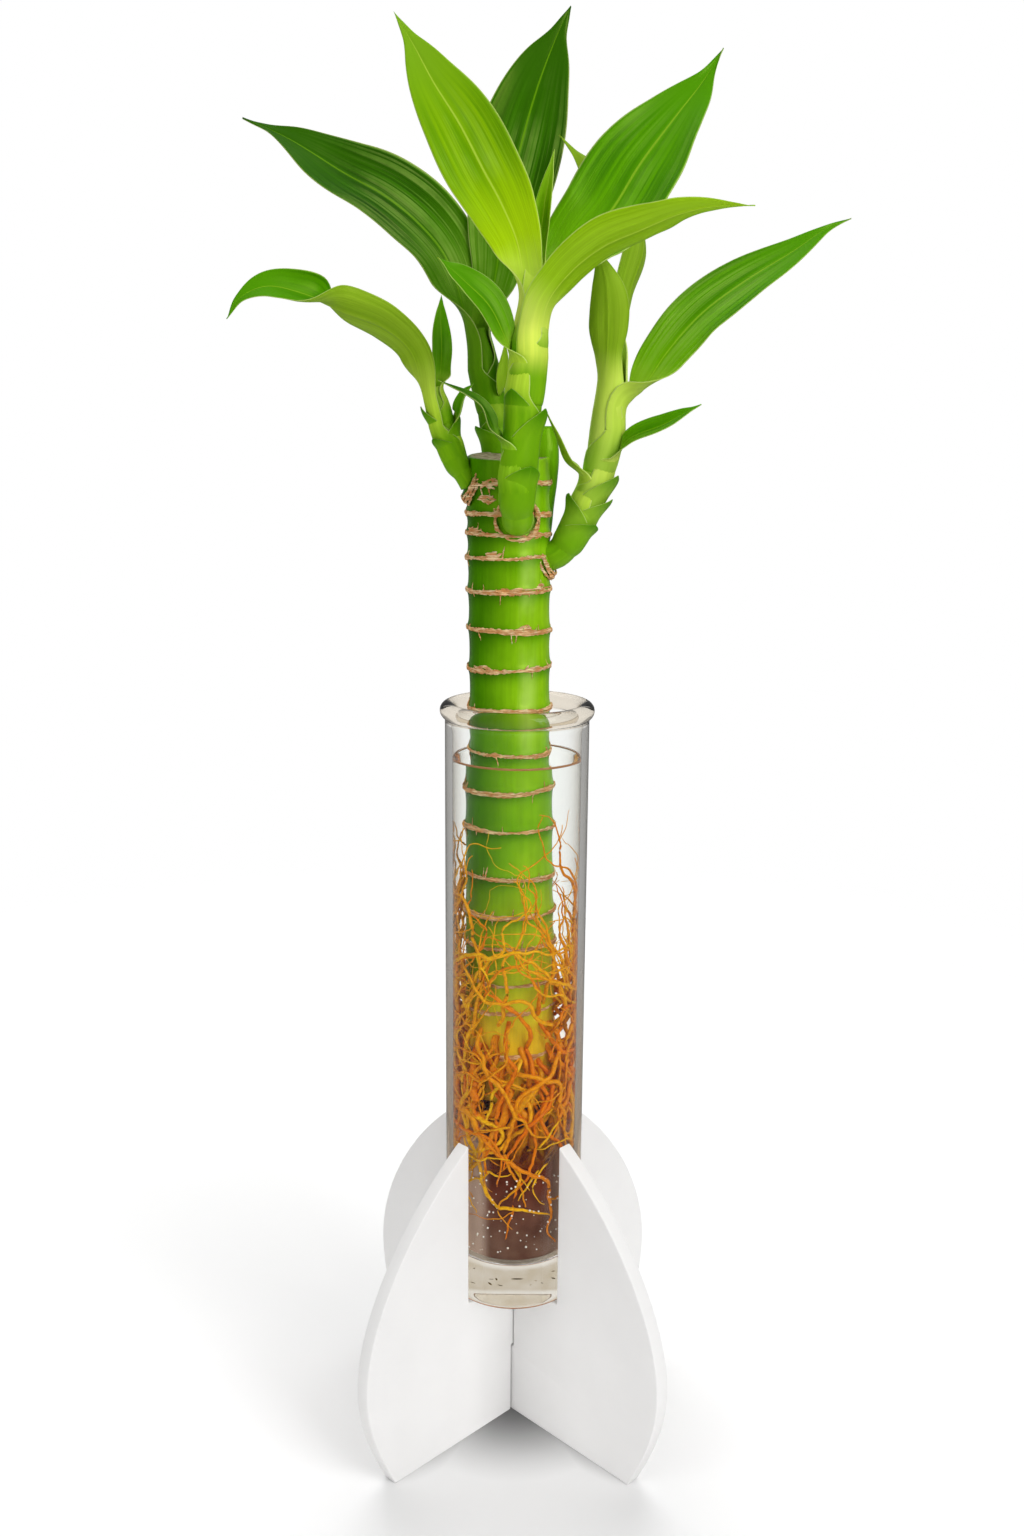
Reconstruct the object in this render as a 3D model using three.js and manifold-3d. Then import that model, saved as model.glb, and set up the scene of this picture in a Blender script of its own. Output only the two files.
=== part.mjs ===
// Lucky bamboo: a cut cane with four leafy shoots, rooted in water in a rimmed glass tube,
// which stands in two crossed plates. Millimetres, +Z up, origin under the tube's axis on the
// surface that the plates stand on. The front of the plant looks along -Y.
import * as THREE from 'three';
import { mergeVertices } from 'three/addons/utils/BufferGeometryUtils.js';
import Module from 'manifold-3d';

const wasm = await Module();
wasm.setup();

// Driving dimensions
const GAP = 0.3;

const stand = {
  thick: 4.5,
  footReach: 49,
  bulgeReach: 58.8,
  bulgeHeight: 33,
  topHeight: 94.5,
  seat: 44.5,
  slotPlay: 0.3,
  footHandle: { reach: 54.5, height: 11 },
  bulgeHandle: { below: 21, above: 52 },
  topHandle: { reach: 44.5, height: 76.5 },
};
const tube = {
  radius: 20,
  wall: 2,
  foot: stand.seat + GAP,
  floor: 58,
  rimHeight: 218.2,
  rimCentre: 19,
  rimRound: 2.4,
  footRound: 1.6,
  floorRound: 1.2,
};
const water = { top: 204.9, shaft: 16.6, bed: 65, corner: 1.3 };
const cane = {
  foot: 105,
  top: 286.8,
  radiusFoot: 11.6,
  radiusTop: 11,
  slimFrom: 205,
  leanFoot: -1,
  leanTop: -2.9,
  footTaper: { rise: 2.6, inset: 2.4 },
  topEase: 0.7,
  ringProud: 0.65,
  ringHalf: 1.1,
  ringTilt: 0.035,
  shootsFrom: 232,
};
const stub = { x: 6.9, y: 3, lean: 1, low: 282, shoulder: 289, top: 294.5, radius: 3.9 };
const boss = { depth: 3, rise: 1.6, ease: 1.2 };
const crown = { low: 84, high: 126, reach: 14, pocketPlay: 0.45, pocketTop: 186 };
const blade = { thick: 0.8, claspPlay: 0.85, edge: 0.25 };

// Small helpers
const vec = (x, y, z) => new THREE.Vector3(x, y, z);
const smooth = (low, high, value) => THREE.MathUtils.smoothstep(value, low, high);
const mix = THREE.MathUtils.lerp;

function seeded(seed) {
  let state = seed;
  return () => {
    state = (state * 1103515245 + 12345) % 2147483648;
    return state / 2147483648;
  };
}

// Reads a list of values as a curve over 0 to 1, straight between them
function stepsAt(values, share) {
  const place = THREE.MathUtils.clamp(share, 0, 1) * (values.length - 1);
  const low = Math.min(Math.floor(place), values.length - 2);
  return mix(values[low], values[low + 1], place - low);
}

function geometryOf(points, faces) {
  const geometry = new THREE.BufferGeometry();
  geometry.setAttribute('position', new THREE.Float32BufferAttribute(points.flatMap((p) => p.toArray()), 3));
  geometry.setIndex(volumeOf(points, faces) < 0 ? faces.flatMap(([a, b, c]) => [a, c, b]) : faces.flat());
  return geometry;
}

function volumeOf(points, faces) {
  const middle = points.reduce((sum, p) => sum.add(p), vec(0, 0, 0)).divideScalar(points.length);
  return faces.reduce((sum, face) => {
    const [a, b, c] = face.map((i) => points[i].clone().sub(middle));
    return sum + a.dot(b.cross(c));
  }, 0);
}

// Closes a stack of rings, all with the same number of points, into one body
function loft(rings) {
  const sides = rings[0].length;
  const points = rings.flat();
  const faces = [];
  for (let i = 0; i < rings.length - 1; i++) {
    for (let j = 0; j < sides; j++) {
      const a = i * sides + j;
      const b = i * sides + ((j + 1) % sides);
      faces.push([a, b, b + sides], [a, b + sides, a + sides]);
    }
  }
  for (const [ring, flip] of [[0, true], [rings.length - 1, false]]) {
    const centre = rings[ring].reduce((sum, p) => sum.add(p), vec(0, 0, 0)).divideScalar(sides);
    points.push(centre);
    for (let j = 0; j < sides; j++) {
      const a = ring * sides + j;
      const b = ring * sides + ((j + 1) % sides);
      faces.push(flip ? [b, a, points.length - 1] : [a, b, points.length - 1]);
    }
  }
  return geometryOf(points, faces);
}

// A round rod along a curve, with its radius given from end to end
function rod(path, radii, sides, steps) {
  const curve = new THREE.CatmullRomCurve3(path, false, 'centripetal');
  const frames = curve.computeFrenetFrames(steps, false);
  const rings = [];
  for (let i = 0; i <= steps; i++) {
    const centre = curve.getPointAt(i / steps);
    const radius = stepsAt(radii, i / steps);
    const ring = [];
    for (let j = 0; j < sides; j++) {
      const turn = (2 * Math.PI * j) / sides;
      ring.push(centre.clone()
        .addScaledVector(frames.normals[i], radius * Math.cos(turn))
        .addScaledVector(frames.binormals[i], radius * Math.sin(turn)));
    }
    rings.push(ring);
  }
  return loft(rings);
}

function solidOf(geometry) {
  const bare = geometry.clone();
  bare.deleteAttribute('normal');
  bare.deleteAttribute('uv');
  const merged = mergeVertices(bare, 1e-4);
  return new wasm.Manifold(new wasm.Mesh({
    numProp: 3,
    vertProperties: new Float32Array(merged.attributes.position.array),
    triVerts: new Uint32Array(merged.index.array),
  }));
}

function geometryFrom(solid) {
  const mesh = solid.getMesh();
  const geometry = new THREE.BufferGeometry();
  geometry.setAttribute('position', new THREE.BufferAttribute(new Float32Array(mesh.vertProperties), 3));
  geometry.setIndex(new THREE.BufferAttribute(new Uint32Array(mesh.triVerts), 1));
  return geometry;
}

// The outer skin alone: loose scraps are dropped and sealed pockets are filled
const outerBody = (solid) =>
  solid.decompose().reduce((best, next) => (next.volume() > best.volume() ? next : best));
const unionOf = (geometries) => geometries.map(solidOf).reduce((whole, next) => whole.add(next));
const joined = (geometries) => geometryFrom(outerBody(unionOf(geometries)));
const trimmed = (geometry, cutters) =>
  geometryFrom(
    outerBody(cutters.reduce((left, cutter) => left.subtract(solidOf(cutter)), solidOf(geometry))),
  );

// Materials
const finish = (color, roughness, extra = {}) =>
  new THREE.MeshStandardMaterial({ color, roughness, metalness: 0, ...extra });
const white = () => finish(0xf1f1f0, 0.55);
const glass = () => finish(0xe6ece8, 0.05, { transparent: true, opacity: 0.3 });
const clearWater = () => finish(0xe4ead8, 0.05, { transparent: true, opacity: 0.25 });
const caneGreen = () => finish(0x3f8a12, 0.35);
const rootOrange = () => finish(0xc8640a, 0.6);
const shootGreen = () => finish(0x8fbf3a, 0.4);
const leafGreen = () => finish(0x4f9a0e, 0.35);
const darkLeafGreen = () => finish(0x1f5f0c, 0.35);

const plant = new THREE.Group();
function addPiece(name, geometry, material) {
  const mesh = new THREE.Mesh(geometry, material);
  mesh.name = name;
  plant.add(mesh);
  return mesh;
}

// Stand: two plates that slot into each other at right angles
function plateOutline(halfLapFromBelow) {
  const { thick, footReach, bulgeReach, bulgeHeight, topHeight, seat, slotPlay } = stand;
  const { footHandle, bulgeHandle, topHandle } = stand;
  const slot = tube.radius + GAP;
  const lap = thick / 2 + slotPlay;
  const half = seat / 2;
  const outline = new THREE.Shape();
  outline.moveTo(-footReach, 0);
  if (halfLapFromBelow) {
    outline.lineTo(-lap, 0);
    outline.lineTo(-lap, half + GAP / 2);
    outline.lineTo(lap, half + GAP / 2);
    outline.lineTo(lap, 0);
  }
  outline.lineTo(footReach, 0);
  outline.bezierCurveTo(
    footHandle.reach, footHandle.height, bulgeReach, bulgeHandle.below, bulgeReach, bulgeHeight);
  outline.bezierCurveTo(bulgeReach, bulgeHandle.above, topHandle.reach, topHandle.height, slot, topHeight);
  outline.lineTo(slot, seat);
  if (!halfLapFromBelow) {
    outline.lineTo(lap, seat);
    outline.lineTo(lap, half - GAP / 2);
    outline.lineTo(-lap, half - GAP / 2);
    outline.lineTo(-lap, seat);
  }
  outline.lineTo(-slot, seat);
  outline.lineTo(-slot, topHeight);
  outline.bezierCurveTo(
    -topHandle.reach, topHandle.height, -bulgeReach, bulgeHandle.above, -bulgeReach, bulgeHeight);
  outline.bezierCurveTo(-bulgeReach, bulgeHandle.below, -footHandle.reach, footHandle.height, -footReach, 0);
  return outline;
}

function plate(halfLapFromBelow) {
  const settings = { depth: stand.thick, bevelEnabled: false, curveSegments: 10 };
  const body = new THREE.ExtrudeGeometry(plateOutline(halfLapFromBelow), settings);
  return body.translate(0, 0, -stand.thick / 2).rotateX(Math.PI / 2);
}

const plateOver = addPiece('stand_plate_over', plate(true), white());
plateOver.rotation.z = Math.PI / 4;
const plateUnder = addPiece('stand_plate_under', plate(false), white());
plateUnder.rotation.z = -Math.PI / 4;

// Glass tube: thick flat foot, thin wall and a rolled rim
function arc(centreX, centreY, radius, from, to, steps) {
  return Array.from({ length: steps + 1 }, (_, i) => {
    const turn = THREE.MathUtils.degToRad(mix(from, to, i / steps));
    return new THREE.Vector2(centreX + radius * Math.cos(turn), centreY + radius * Math.sin(turn));
  });
}

function tubeProfile() {
  const { radius, wall, foot, floor, rimHeight, rimCentre, rimRound, footRound, floorRound } = tube;
  const inner = radius - wall;
  return [
    new THREE.Vector2(0, foot),
    ...arc(radius - footRound, foot + footRound, footRound, -90, 0, 3),
    ...arc(rimCentre, rimHeight, rimRound, -65, 245, 7),
    ...arc(inner - floorRound, floor + floorRound, floorRound, 0, -90, 2),
    new THREE.Vector2(0, floor),
  ];
}
addPiece('glass_tube', new THREE.LatheGeometry(tubeProfile(), 32).rotateX(Math.PI / 2), glass());

// Water: fills the tube round one plain shaft that the cane and its roots hang in
function waterProfile() {
  const outer = tube.radius - tube.wall - GAP;
  const low = tube.floor + GAP;
  return [
    new THREE.Vector2(0, low),
    new THREE.Vector2(outer - water.corner, low),
    new THREE.Vector2(outer, low + water.corner),
    new THREE.Vector2(outer, water.top),
    new THREE.Vector2(water.shaft, water.top),
    new THREE.Vector2(water.shaft, water.bed),
    new THREE.Vector2(0, water.bed),
  ];
}
addPiece('water', new THREE.LatheGeometry(waterProfile(), 32).rotateX(Math.PI / 2), clearWater());

// Cane: a green stalk with leaf scars as raised rings, a cut top and the stub of a lost shoot
const ringHeights = [
  120.5, 133.5, 142, 152.5, 161.5, 172.5, 186, 197, 207.5, 219.5, 230.5, 241, 251.5, 260.5, 266.5, 272, 279.5,
];
const caneCentre = (z) =>
  vec(mix(cane.leanFoot, cane.leanTop, (z - cane.foot) / (cane.top - cane.foot)), 0, z);
const caneRadius = (z) => mix(cane.radiusFoot, cane.radiusTop, smooth(cane.foot, cane.slimFrom, z));

function caneRing(z, proud, sides, tilt) {
  const centre = caneCentre(z);
  const radius = caneRadius(z) + proud;
  return Array.from({ length: sides }, (_, j) => {
    const turn = (2 * Math.PI * (j + 0.5)) / sides;
    const x = radius * Math.cos(turn);
    return vec(centre.x + x, radius * Math.sin(turn), z + tilt * x);
  });
}

const caneSides = 12;

function stalk() {
  const sides = caneSides;
  const { rise, inset } = cane.footTaper;
  const rings = [caneRing(cane.foot, -inset, sides, 0), caneRing(cane.foot + rise, 0, sides, 0)];
  for (const [i, height] of ringHeights.entries()) {
    const tilt = cane.ringTilt * Math.sin(i * 2.1);
    rings.push(caneRing(height - cane.ringHalf, 0, sides, tilt));
    rings.push(caneRing(height, cane.ringProud, sides, tilt));
    rings.push(caneRing(height + cane.ringHalf, 0, sides, tilt));
  }
  rings.push(caneRing(cane.top - cane.topEase, 0, sides, 0), caneRing(cane.top, -cane.topEase, sides, 0));
  return loft(rings);
}

// Where each shoot breaks out of the cane, and the way it leaves
const budBosses = [
  { at: vec(-12.6, -3, 279), out: vec(-1, -0.15, 0.45), radius: 4.2 },
  { at: vec(-0.6, -9.9, 270.5), out: vec(0.1, -1, 0.1), radius: 5.2 },
  { at: vec(-4.6, 8.3, 279), out: vec(-0.2, 1, 0.6), radius: 4.4 },
  { at: vec(7.2, -1.8, 260), out: vec(1, -0.15, 0.45), radius: 4.8 },
];

function budBoss({ at, out, radius }, grown = 0) {
  const way = out.clone().normalize();
  const path = [-boss.depth, 0, boss.rise + grown].map((step) => at.clone().addScaledVector(way, step));
  return rod(path, [radius + grown, radius + grown, radius + grown - boss.ease], 10, 2);
}

// The room that the cane and its bosses take, with the gap that the shoots keep to them
function caneRoom() {
  const proud = cane.ringProud + 1.5 * GAP;
  const post = loft([cane.shootsFrom, cane.top + GAP].map((z) => caneRing(z, proud, caneSides, 0)));
  return [post, ...budBosses.map((bud) => budBoss(bud, GAP))];
}

// What is left of a shoot that was cut off: a short upright peg with a rounded top
function stubPeg() {
  const { x, y, lean, low, shoulder, top, radius } = stub;
  const path = [vec(x - lean, y, low), vec(x, y, shoulder), vec(x, y, top - 0.9), vec(x, y, top)];
  const radii = [0, 0, 0, 0.3, 1.6].map((inset) => radius - inset);
  return rod(path, radii, 10, 5);
}
addPiece('cane', joined([stalk(), stubPeg(), ...budBosses.map((bud) => budBoss(bud))]), caneGreen());

// Shoots: each stem is a stack of wrapped leaf bases, thick below and thin above
const stems = {
  left: {
    path: [vec(-14.2, -3.4, 281.2), vec(-16.4, -3.4, 284.5), vec(-18.8, -3, 291), vec(-21, -3, 298),
      vec(-22.6, -3, 304)],
    radii: [2.6, 3, 3, 2.7, 1.8],
  },
  front: {
    path: [vec(-0.4, -13.3, 270.8), vec(-0.6, -15.8, 275), vec(0, -17, 286), vec(1, -17, 297),
      vec(2, -17, 310), vec(3, -16.5, 326)],
    radii: [4, 4.6, 4.4, 4.3, 3.8, 2.2],
  },
  back: {
    path: [vec(-5, 11.4, 281), vec(-6, 12.6, 290), vec(-7.6, 13.4, 300), vec(-10, 14, 311),
      vec(-11.5, 15, 320)],
    radii: [3.8, 4.2, 4, 3.4, 2],
  },
  right: {
    path: [vec(10.6, -2.4, 261.4), vec(13.6, -3, 265), vec(17, -3, 272), vec(20.6, -3, 282),
      vec(22.6, -3, 291), vec(24, -3, 302), vec(24.6, -2, 312)],
    radii: [3.8, 4.2, 4, 4, 3.8, 3.2, 2],
  },
};
const stemCurve = (stem) => new THREE.CatmullRomCurve3(stem.path, false, 'centripetal');

// A leaf is one thin sheet. Its foot clasps the stem as a trough, then the trough opens into a
// blade that is widest at its middle and drawn out to a point.
//   grip   shares of the stem's length where the clasp starts and ends
//   out    heading of the clasp's back, in degrees, 0 along +X and 90 along +Y
//   faces  way that the upper side of the blade looks, and tipFaces the same near the tip
//   width  and wide, its largest breadth and the share of the blade where that lies
//   fold   how far each half is turned up, as an angle in radians
//   path   points on the midrib after the clasp
//   outside  the leaves that this one wraps round and is cut clear of
//   overScale  set where the clasp also lies over a scale of the stem and is cut clear of it
const leaves = [
  { name: 'leaf_left_arching', overScale: true, stem: 'left', grip: [0.62, 0.86], out: 190,
    width: 13.5, wide: 0.5, faces: vec(0.1, 0.7, 0.7), tipFaces: vec(-0.1, -0.5, 0.85), fold: 0.45,
    path: [vec(-28, -4.5, 313), vec(-35, -6, 319), vec(-45, -8, 322.5), vec(-55, -10, 326.5),
      vec(-64, -12, 328), vec(-70.5, -13, 325), vec(-74, -13, 320)] },
  { name: 'leaf_left_upright', outside: ['leaf_left_arching'], stem: 'left', grip: [0.84, 0.98], out: 30,
    width: 5, wide: 0.45, faces: vec(0.3, -1, 0), fold: 0.5,
    path: [vec(-20.5, -1, 314), vec(-20.7, 0, 321), vec(-20.6, 1, 327.5)] },
  { name: 'leaf_left_low', overScale: true, stem: 'left', grip: [0.36, 0.58], out: 0, width: 5, wide: 0.4,
    faces: vec(-0.7, -0.5, 0.4), fold: 0.7,
    path: [vec(-16, -5, 297), vec(-14.5, -6, 302), vec(-12, -7, 305)] },
  { name: 'leaf_front_bright', outside: ['leaf_front_spear', 'leaf_front_large'], stem: 'front',
    grip: [0.88, 0.99], out: 150, width: 19, wide: 0.47, faces: vec(-0.25, -1, 0.3), fold: 0.35,
    path: [vec(-0.5, -14, 337), vec(-4.5, -12.5, 347), vec(-9.5, -11, 356), vec(-15.5, -9, 367),
      vec(-22, -6.5, 377), vec(-27, -4, 386), vec(-32, -2, 394)] },
  { name: 'leaf_front_arching', overScale: true, outside: ['leaf_front_large'], stem: 'front',
    grip: [0.74, 0.86], out: -50, width: 15.5, wide: 0.42, faces: vec(-0.5, 0.6, 0.6), fold: 0.5,
    path: [vec(6.5, -22, 324), vec(11, -24, 330), vec(19, -28, 336), vec(28, -32, 339.5), vec(37, -37, 342.5),
      vec(45, -41, 343.5), vec(53, -44, 343)] },
  { name: 'leaf_front_small', overScale: true, stem: 'front', grip: [0.58, 0.72], out: 200, width: 10,
    wide: 0.5,
    faces: vec(0.2, -0.8, 0.6), fold: 0.5,
    path: [vec(-5, -21.5, 318), vec(-8, -24, 323), vec(-13, -27, 327.5), vec(-20, -31, 333)] },
  { name: 'leaf_front_spear', stem: 'front', grip: [0.97, 1.08], out: 80, width: 5, wide: 0.42,
    faces: vec(-0.4, -1, 0.1), fold: 0.9, path: [vec(4.6, -12, 338), vec(5.8, -11, 348), vec(8, -10, 361)] },
  { name: 'leaf_front_narrow', stem: 'front', grip: [0.2, 0.34], out: 200, width: 5, wide: 0.35,
    faces: vec(0.1, -0.5, 0.9), fold: 0.6,
    path: [vec(-6.5, -20.5, 293), vec(-10, -23, 299.5), vec(-20, -28, 305)] },
  { name: 'leaf_front_large', overScale: true, outside: ['leaf_front_spear'], stem: 'front',
    grip: [0.84, 0.96], out: 30, width: 26, wide: 0.45, faces: vec(-0.35, -1, 0.35), fold: 0.4,
    path: [vec(10, -13.5, 332), vec(15, -11, 339), vec(22.5, -8, 347), vec(30, -4, 359), vec(39, 0, 371),
      vec(46, 3, 380), vec(51, 5, 388)] },
  { name: 'leaf_back_dark', dark: true, outside: ['leaf_back_tall'], stem: 'back',
    grip: [0.74, 0.92], out: 185, width: 26, wide: 0.46, faces: vec(0.3, -0.8, 0.6), fold: 0.45,
    path: [vec(-17, 16.5, 331), vec(-21, 18, 340), vec(-28, 20, 348), vec(-37, 22, 355), vec(-48, 24, 361),
      vec(-63, 27, 370), vec(-76, 30, 376)] },
  { name: 'leaf_back_tall', dark: true, stem: 'back', grip: [0.84, 0.99], out: 60, width: 24, wide: 0.52,
    faces: vec(-0.1, -1, 0.1), fold: 0.35,
    path: [vec(-7, 19, 333), vec(-5, 21.5, 346), vec(-1, 25, 365), vec(4, 28, 383), vec(8.5, 30, 395),
      vec(13, 32, 405)] },
  { name: 'leaf_back_low', stem: 'back', grip: [0.4, 0.58], out: 330, width: 6, wide: 0.35,
    faces: vec(-0.8, 0.5, 0.3), fold: 0.9, path: [vec(-3.8, 9, 305), vec(-3.6, 8.5, 311), vec(-4, 8, 317)] },
  { name: 'leaf_right_long', stem: 'right', grip: [0.66, 0.78], out: -20, width: 15.5, wide: 0.42,
    faces: vec(-0.45, -1, 0.5), fold: 0.4,
    path: [vec(32, -4, 304), vec(38, -2, 313), vec(47, 2, 323), vec(59, 6, 332), vec(72, 10, 340),
      vec(81, 13, 346), vec(88, 15, 349)] },
  { name: 'leaf_right_behind', stem: 'right', grip: [0.86, 0.99], out: 60, width: 16, wide: 0.5,
    faces: vec(-0.8, 0.5, 0.3), fold: 0.5,
    path: [vec(28.5, 5, 329), vec(32, 9, 341), vec(29, 13, 351), vec(22, 16, 358), vec(10, 19, 370)] },
  { name: 'leaf_right_folded', outside: ['leaf_right_long'], stem: 'right', grip: [0.76, 0.9], out: 230,
    width: 11, wide: 0.45, faces: vec(0.1, 1, 0.3), fold: 0.8,
    path: [vec(22.5, -8, 318), vec(22, -9, 328), vec(19, -9, 339)] },
  { name: 'leaf_right_small', overScale: true, outside: ['leaf_right_narrow'], stem: 'right',
    grip: [0.4, 0.52], out: -30, width: 7, wide: 0.5, faces: vec(-0.3, -0.6, 0.8), fold: 0.5,
    path: [vec(28, -9, 291), vec(37, -12, 295), vec(46, -15, 300)] },
  { name: 'leaf_right_narrow', overScale: true, stem: 'right', grip: [0.26, 0.4], out: 200, width: 4,
    wide: 0.3, faces: vec(0.7, 0.1, 0.6), fold: 0.8,
    path: [vec(12, -8, 286), vec(9.5, -11, 292), vec(6.5, -14, 298.5)] },
];

// Half of the blade's width, as a share of its largest, from the trough's end to the tip
function bladeShare(along, wide) {
  const blunt = 2.6;
  const u = THREE.MathUtils.clamp(along, 0, 1);
  return ((u / wide) ** (blunt * wide)) * (((1 - u) / (1 - wide)) ** (blunt * (1 - wide)));
}

function leafCurve(leaf) {
  const stem = stems[leaf.stem];
  const curve = stemCurve(stem);
  const clear = leaf.sunk ? 0.1 : GAP + blade.claspPlay;
  const heading = THREE.MathUtils.degToRad(leaf.out);
  const back = vec(Math.cos(heading), Math.sin(heading), 0);
  const clasp = leaf.grip.map((share) => {
    const inside = Math.min(share, 1);
    const way = curve.getTangentAt(inside);
    const outward = back.clone().addScaledVector(way, -back.dot(way)).normalize();
    const radius = stepsAt(stem.radii, inside) + clear;
    return curve.getPointAt(inside).addScaledVector(way, (share - inside) * curve.getLength())
      .addScaledVector(outward, radius);
  });
  const path = new THREE.CatmullRomCurve3([...clasp, ...leaf.path], false, 'centripetal');
  const gripShare = clasp[0].distanceTo(clasp[1]) / path.getLength();
  return { path, back, gripShare, claspRadius: stepsAt(stem.radii, Math.min(leaf.grip[0], 1)) + clear };
}

function leafGeometry(leaf, grown = 0) {
  const { path, back, gripShare, claspRadius } = leafCurve(leaf);
  const along = leaf.sunk ? 4 : leaf.width > 12 ? 14 : 9;
  const across = leaf.sunk ? 3 : 4;
  const sheet = [];
  for (let i = 0; i <= along; i++) {
    const share = i / along;
    const way = path.getTangentAt(share);
    const opened = smooth(gripShare * 0.8, gripShare * 1.2 + 0.16, share);
    const turned = leaf.tipFaces ? smooth(0.5, 0.72, share) : 0;
    const up = back.clone().negate().lerp(leaf.faces, opened);
    if (leaf.tipFaces) {
      up.lerp(leaf.tipFaces, turned);
    }
    up.addScaledVector(way, -up.dot(way)).normalize();
    const side = way.clone().cross(up);
    const trough = mix(1.35 * claspRadius, 0.35 * claspRadius, smooth(0, 0.5, share));
    const half = Math.hypot(trough * (1 - smooth(0.2, 0.85, share)),
      0.5 * leaf.width * bladeShare((share - gripShare) / (1 - gripShare), leaf.wide)) + blade.edge + grown;
    const curl = mix(Math.min(half / claspRadius, 1.5), leaf.fold, opened);
    sheet.push(Array.from({ length: across + 1 }, (_, j) => {
      const turn = curl * (-1 + (2 * j) / across);
      const radius = half / curl;
      return {
        at: path.getPointAt(share).addScaledVector(side, radius * Math.sin(turn))
          .addScaledVector(up, radius * (1 - Math.cos(turn))),
        normal: up.clone().multiplyScalar(Math.cos(turn)).addScaledVector(side, -Math.sin(turn)),
      };
    }));
  }
  return thickened(sheet, blade.thick + 2 * grown);
}

// Gives a grid of points and normals a thickness, split alike on both of its faces
function thickened(sheet, thick) {
  const rows = sheet.length;
  const columns = sheet[0].length;
  const points = [0.5, -0.5].flatMap((offset) =>
    sheet.flat().map(({ at, normal }) => at.clone().addScaledVector(normal, offset * thick)));
  const count = rows * columns;
  const faces = [];
  for (let i = 0; i < rows - 1; i++) {
    for (let j = 0; j < columns - 1; j++) {
      const a = i * columns + j;
      const [b, c, d] = [a + 1, a + columns + 1, a + columns];
      faces.push([a, b, c], [a, c, d], [a + count, c + count, b + count], [a + count, d + count, c + count]);
    }
  }
  const border = [
    ...Array.from({ length: columns - 1 }, (_, j) => [j, j + 1]),
    ...Array.from({ length: rows - 1 }, (_, i) => [(i + 1) * columns - 1, (i + 2) * columns - 1]),
    ...Array.from({ length: columns - 1 }, (_, j) => [count - 1 - j, count - 2 - j]),
    ...Array.from({ length: rows - 1 }, (_, i) => [(rows - 1 - i) * columns, (rows - 2 - i) * columns]),
  ];
  for (const [from, to] of border) {
    faces.push([to, from, from + count], [to, from + count, to + count]);
  }
  return geometryOf(points, faces);
}

// Scales: short pointed leaf bases that never opened, grown fast to their stem
//   grip and out as for a leaf, rise how far its point stands above the clasp
const scales = {
  left: [
    { grip: [0.1, 0.3], out: 215, rise: 4 },
    { grip: [0.3, 0.5], out: 190, rise: 8 },
    { grip: [0.16, 0.34], out: 345, rise: 7 },
  ],
  front: [
    { grip: [0.06, 0.18], out: 300, rise: 4 },
    { grip: [0.2, 0.36], out: 10, rise: 7 },
    { grip: [0.36, 0.52], out: 290, rise: 5 },
    { grip: [0.5, 0.7], out: 340, rise: 15 },
  ],
  back: [{ grip: [0.1, 0.24], out: 200, rise: 4 }],
  right: [
    { grip: [0.04, 0.14], out: 320, rise: 5 },
    { grip: [0.12, 0.26], out: 340, rise: 9 },
    { grip: [0.08, 0.2], out: 200, rise: 7 },
  ],
};

function scaleGeometry(name, { grip, out, rise }, grown = 0) {
  const stem = stems[name];
  const curve = stemCurve(stem);
  const way = curve.getTangentAt(grip[1]);
  const heading = THREE.MathUtils.degToRad(out);
  const radius = stepsAt(stem.radii, grip[1]);
  const tip = curve.getPointAt(grip[1]).addScaledVector(way, rise)
    .add(vec(Math.cos(heading), Math.sin(heading), 0).multiplyScalar(radius + 0.22 * rise));
  const faces = vec(-Math.cos(heading), -Math.sin(heading), 0.3);
  const width = 1.2 * radius;
  const values = { stem: name, grip, out, width, wide: 0.3, faces, fold: 0.9, sunk: true, path: [tip] };
  return leafGeometry(values, grown);
}

// The room that a stem and its scales take, with the gap that its leaves keep to them
function stemRoom(name) {
  const { path, radii } = stems[name];
  const core = rod(path, radii.map((radius) => radius + GAP), 10, 9);
  return [core, ...scales[name].map((scale) => scaleGeometry(name, scale, GAP))];
}

for (const [name, stem] of Object.entries(stems)) {
  const body = rod(stem.path, stem.radii, 10, 9);
  const pieces = [body, ...scales[name].map((scale) => scaleGeometry(name, scale))];
  addPiece(`stem_${name}`, trimmed(joined(pieces), caneRoom()), shootGreen());
}

const leafNamed = Object.fromEntries(leaves.map((leaf) => [leaf.name, leaf]));
for (const leaf of leaves) {
  const inner = (leaf.outside ?? []).map((name) => leafGeometry(leafNamed[name], GAP));
  const room = leaf.overScale ? stemRoom(leaf.stem) : [];
  const colour = leaf.dark ? darkLeafGreen() : leafGreen();
  addPiece(leaf.name, trimmed(leafGeometry(leaf), [...room, ...inner]), colour);
}

// Roots: a matted crown round the foot of the cane, with strands grown out of it
function crownBody() {
  const chance = seeded(7);
  const sides = 10;
  const swell = [0.62, 0.86, 0.97, 1, 1, 1];
  const rings = swell.map((share, i) => {
    const z = mix(crown.low, crown.high, (i / (swell.length - 1)) ** 1.3);
    return Array.from({ length: sides }, (_, j) => {
      const turn = (2 * Math.PI * j) / sides;
      const radius = crown.reach * share * (0.98 + 0.05 * chance());
      return caneCentre(z).add(vec(radius * Math.cos(turn), radius * Math.sin(turn), 0));
    });
  });
  return loft(rings);
}

// The hollow in the crown that the foot of the cane stands in
function canePocket() {
  const sides = 16;
  const proud = cane.ringProud + crown.pocketPlay;
  const { rise, inset } = cane.footTaper;
  return loft([
    caneRing(cane.foot - GAP, proud - inset, sides, 0),
    caneRing(cane.foot + rise, proud, sides, 0),
    caneRing(crown.pocketTop, proud, sides, 0),
  ]);
}

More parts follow.
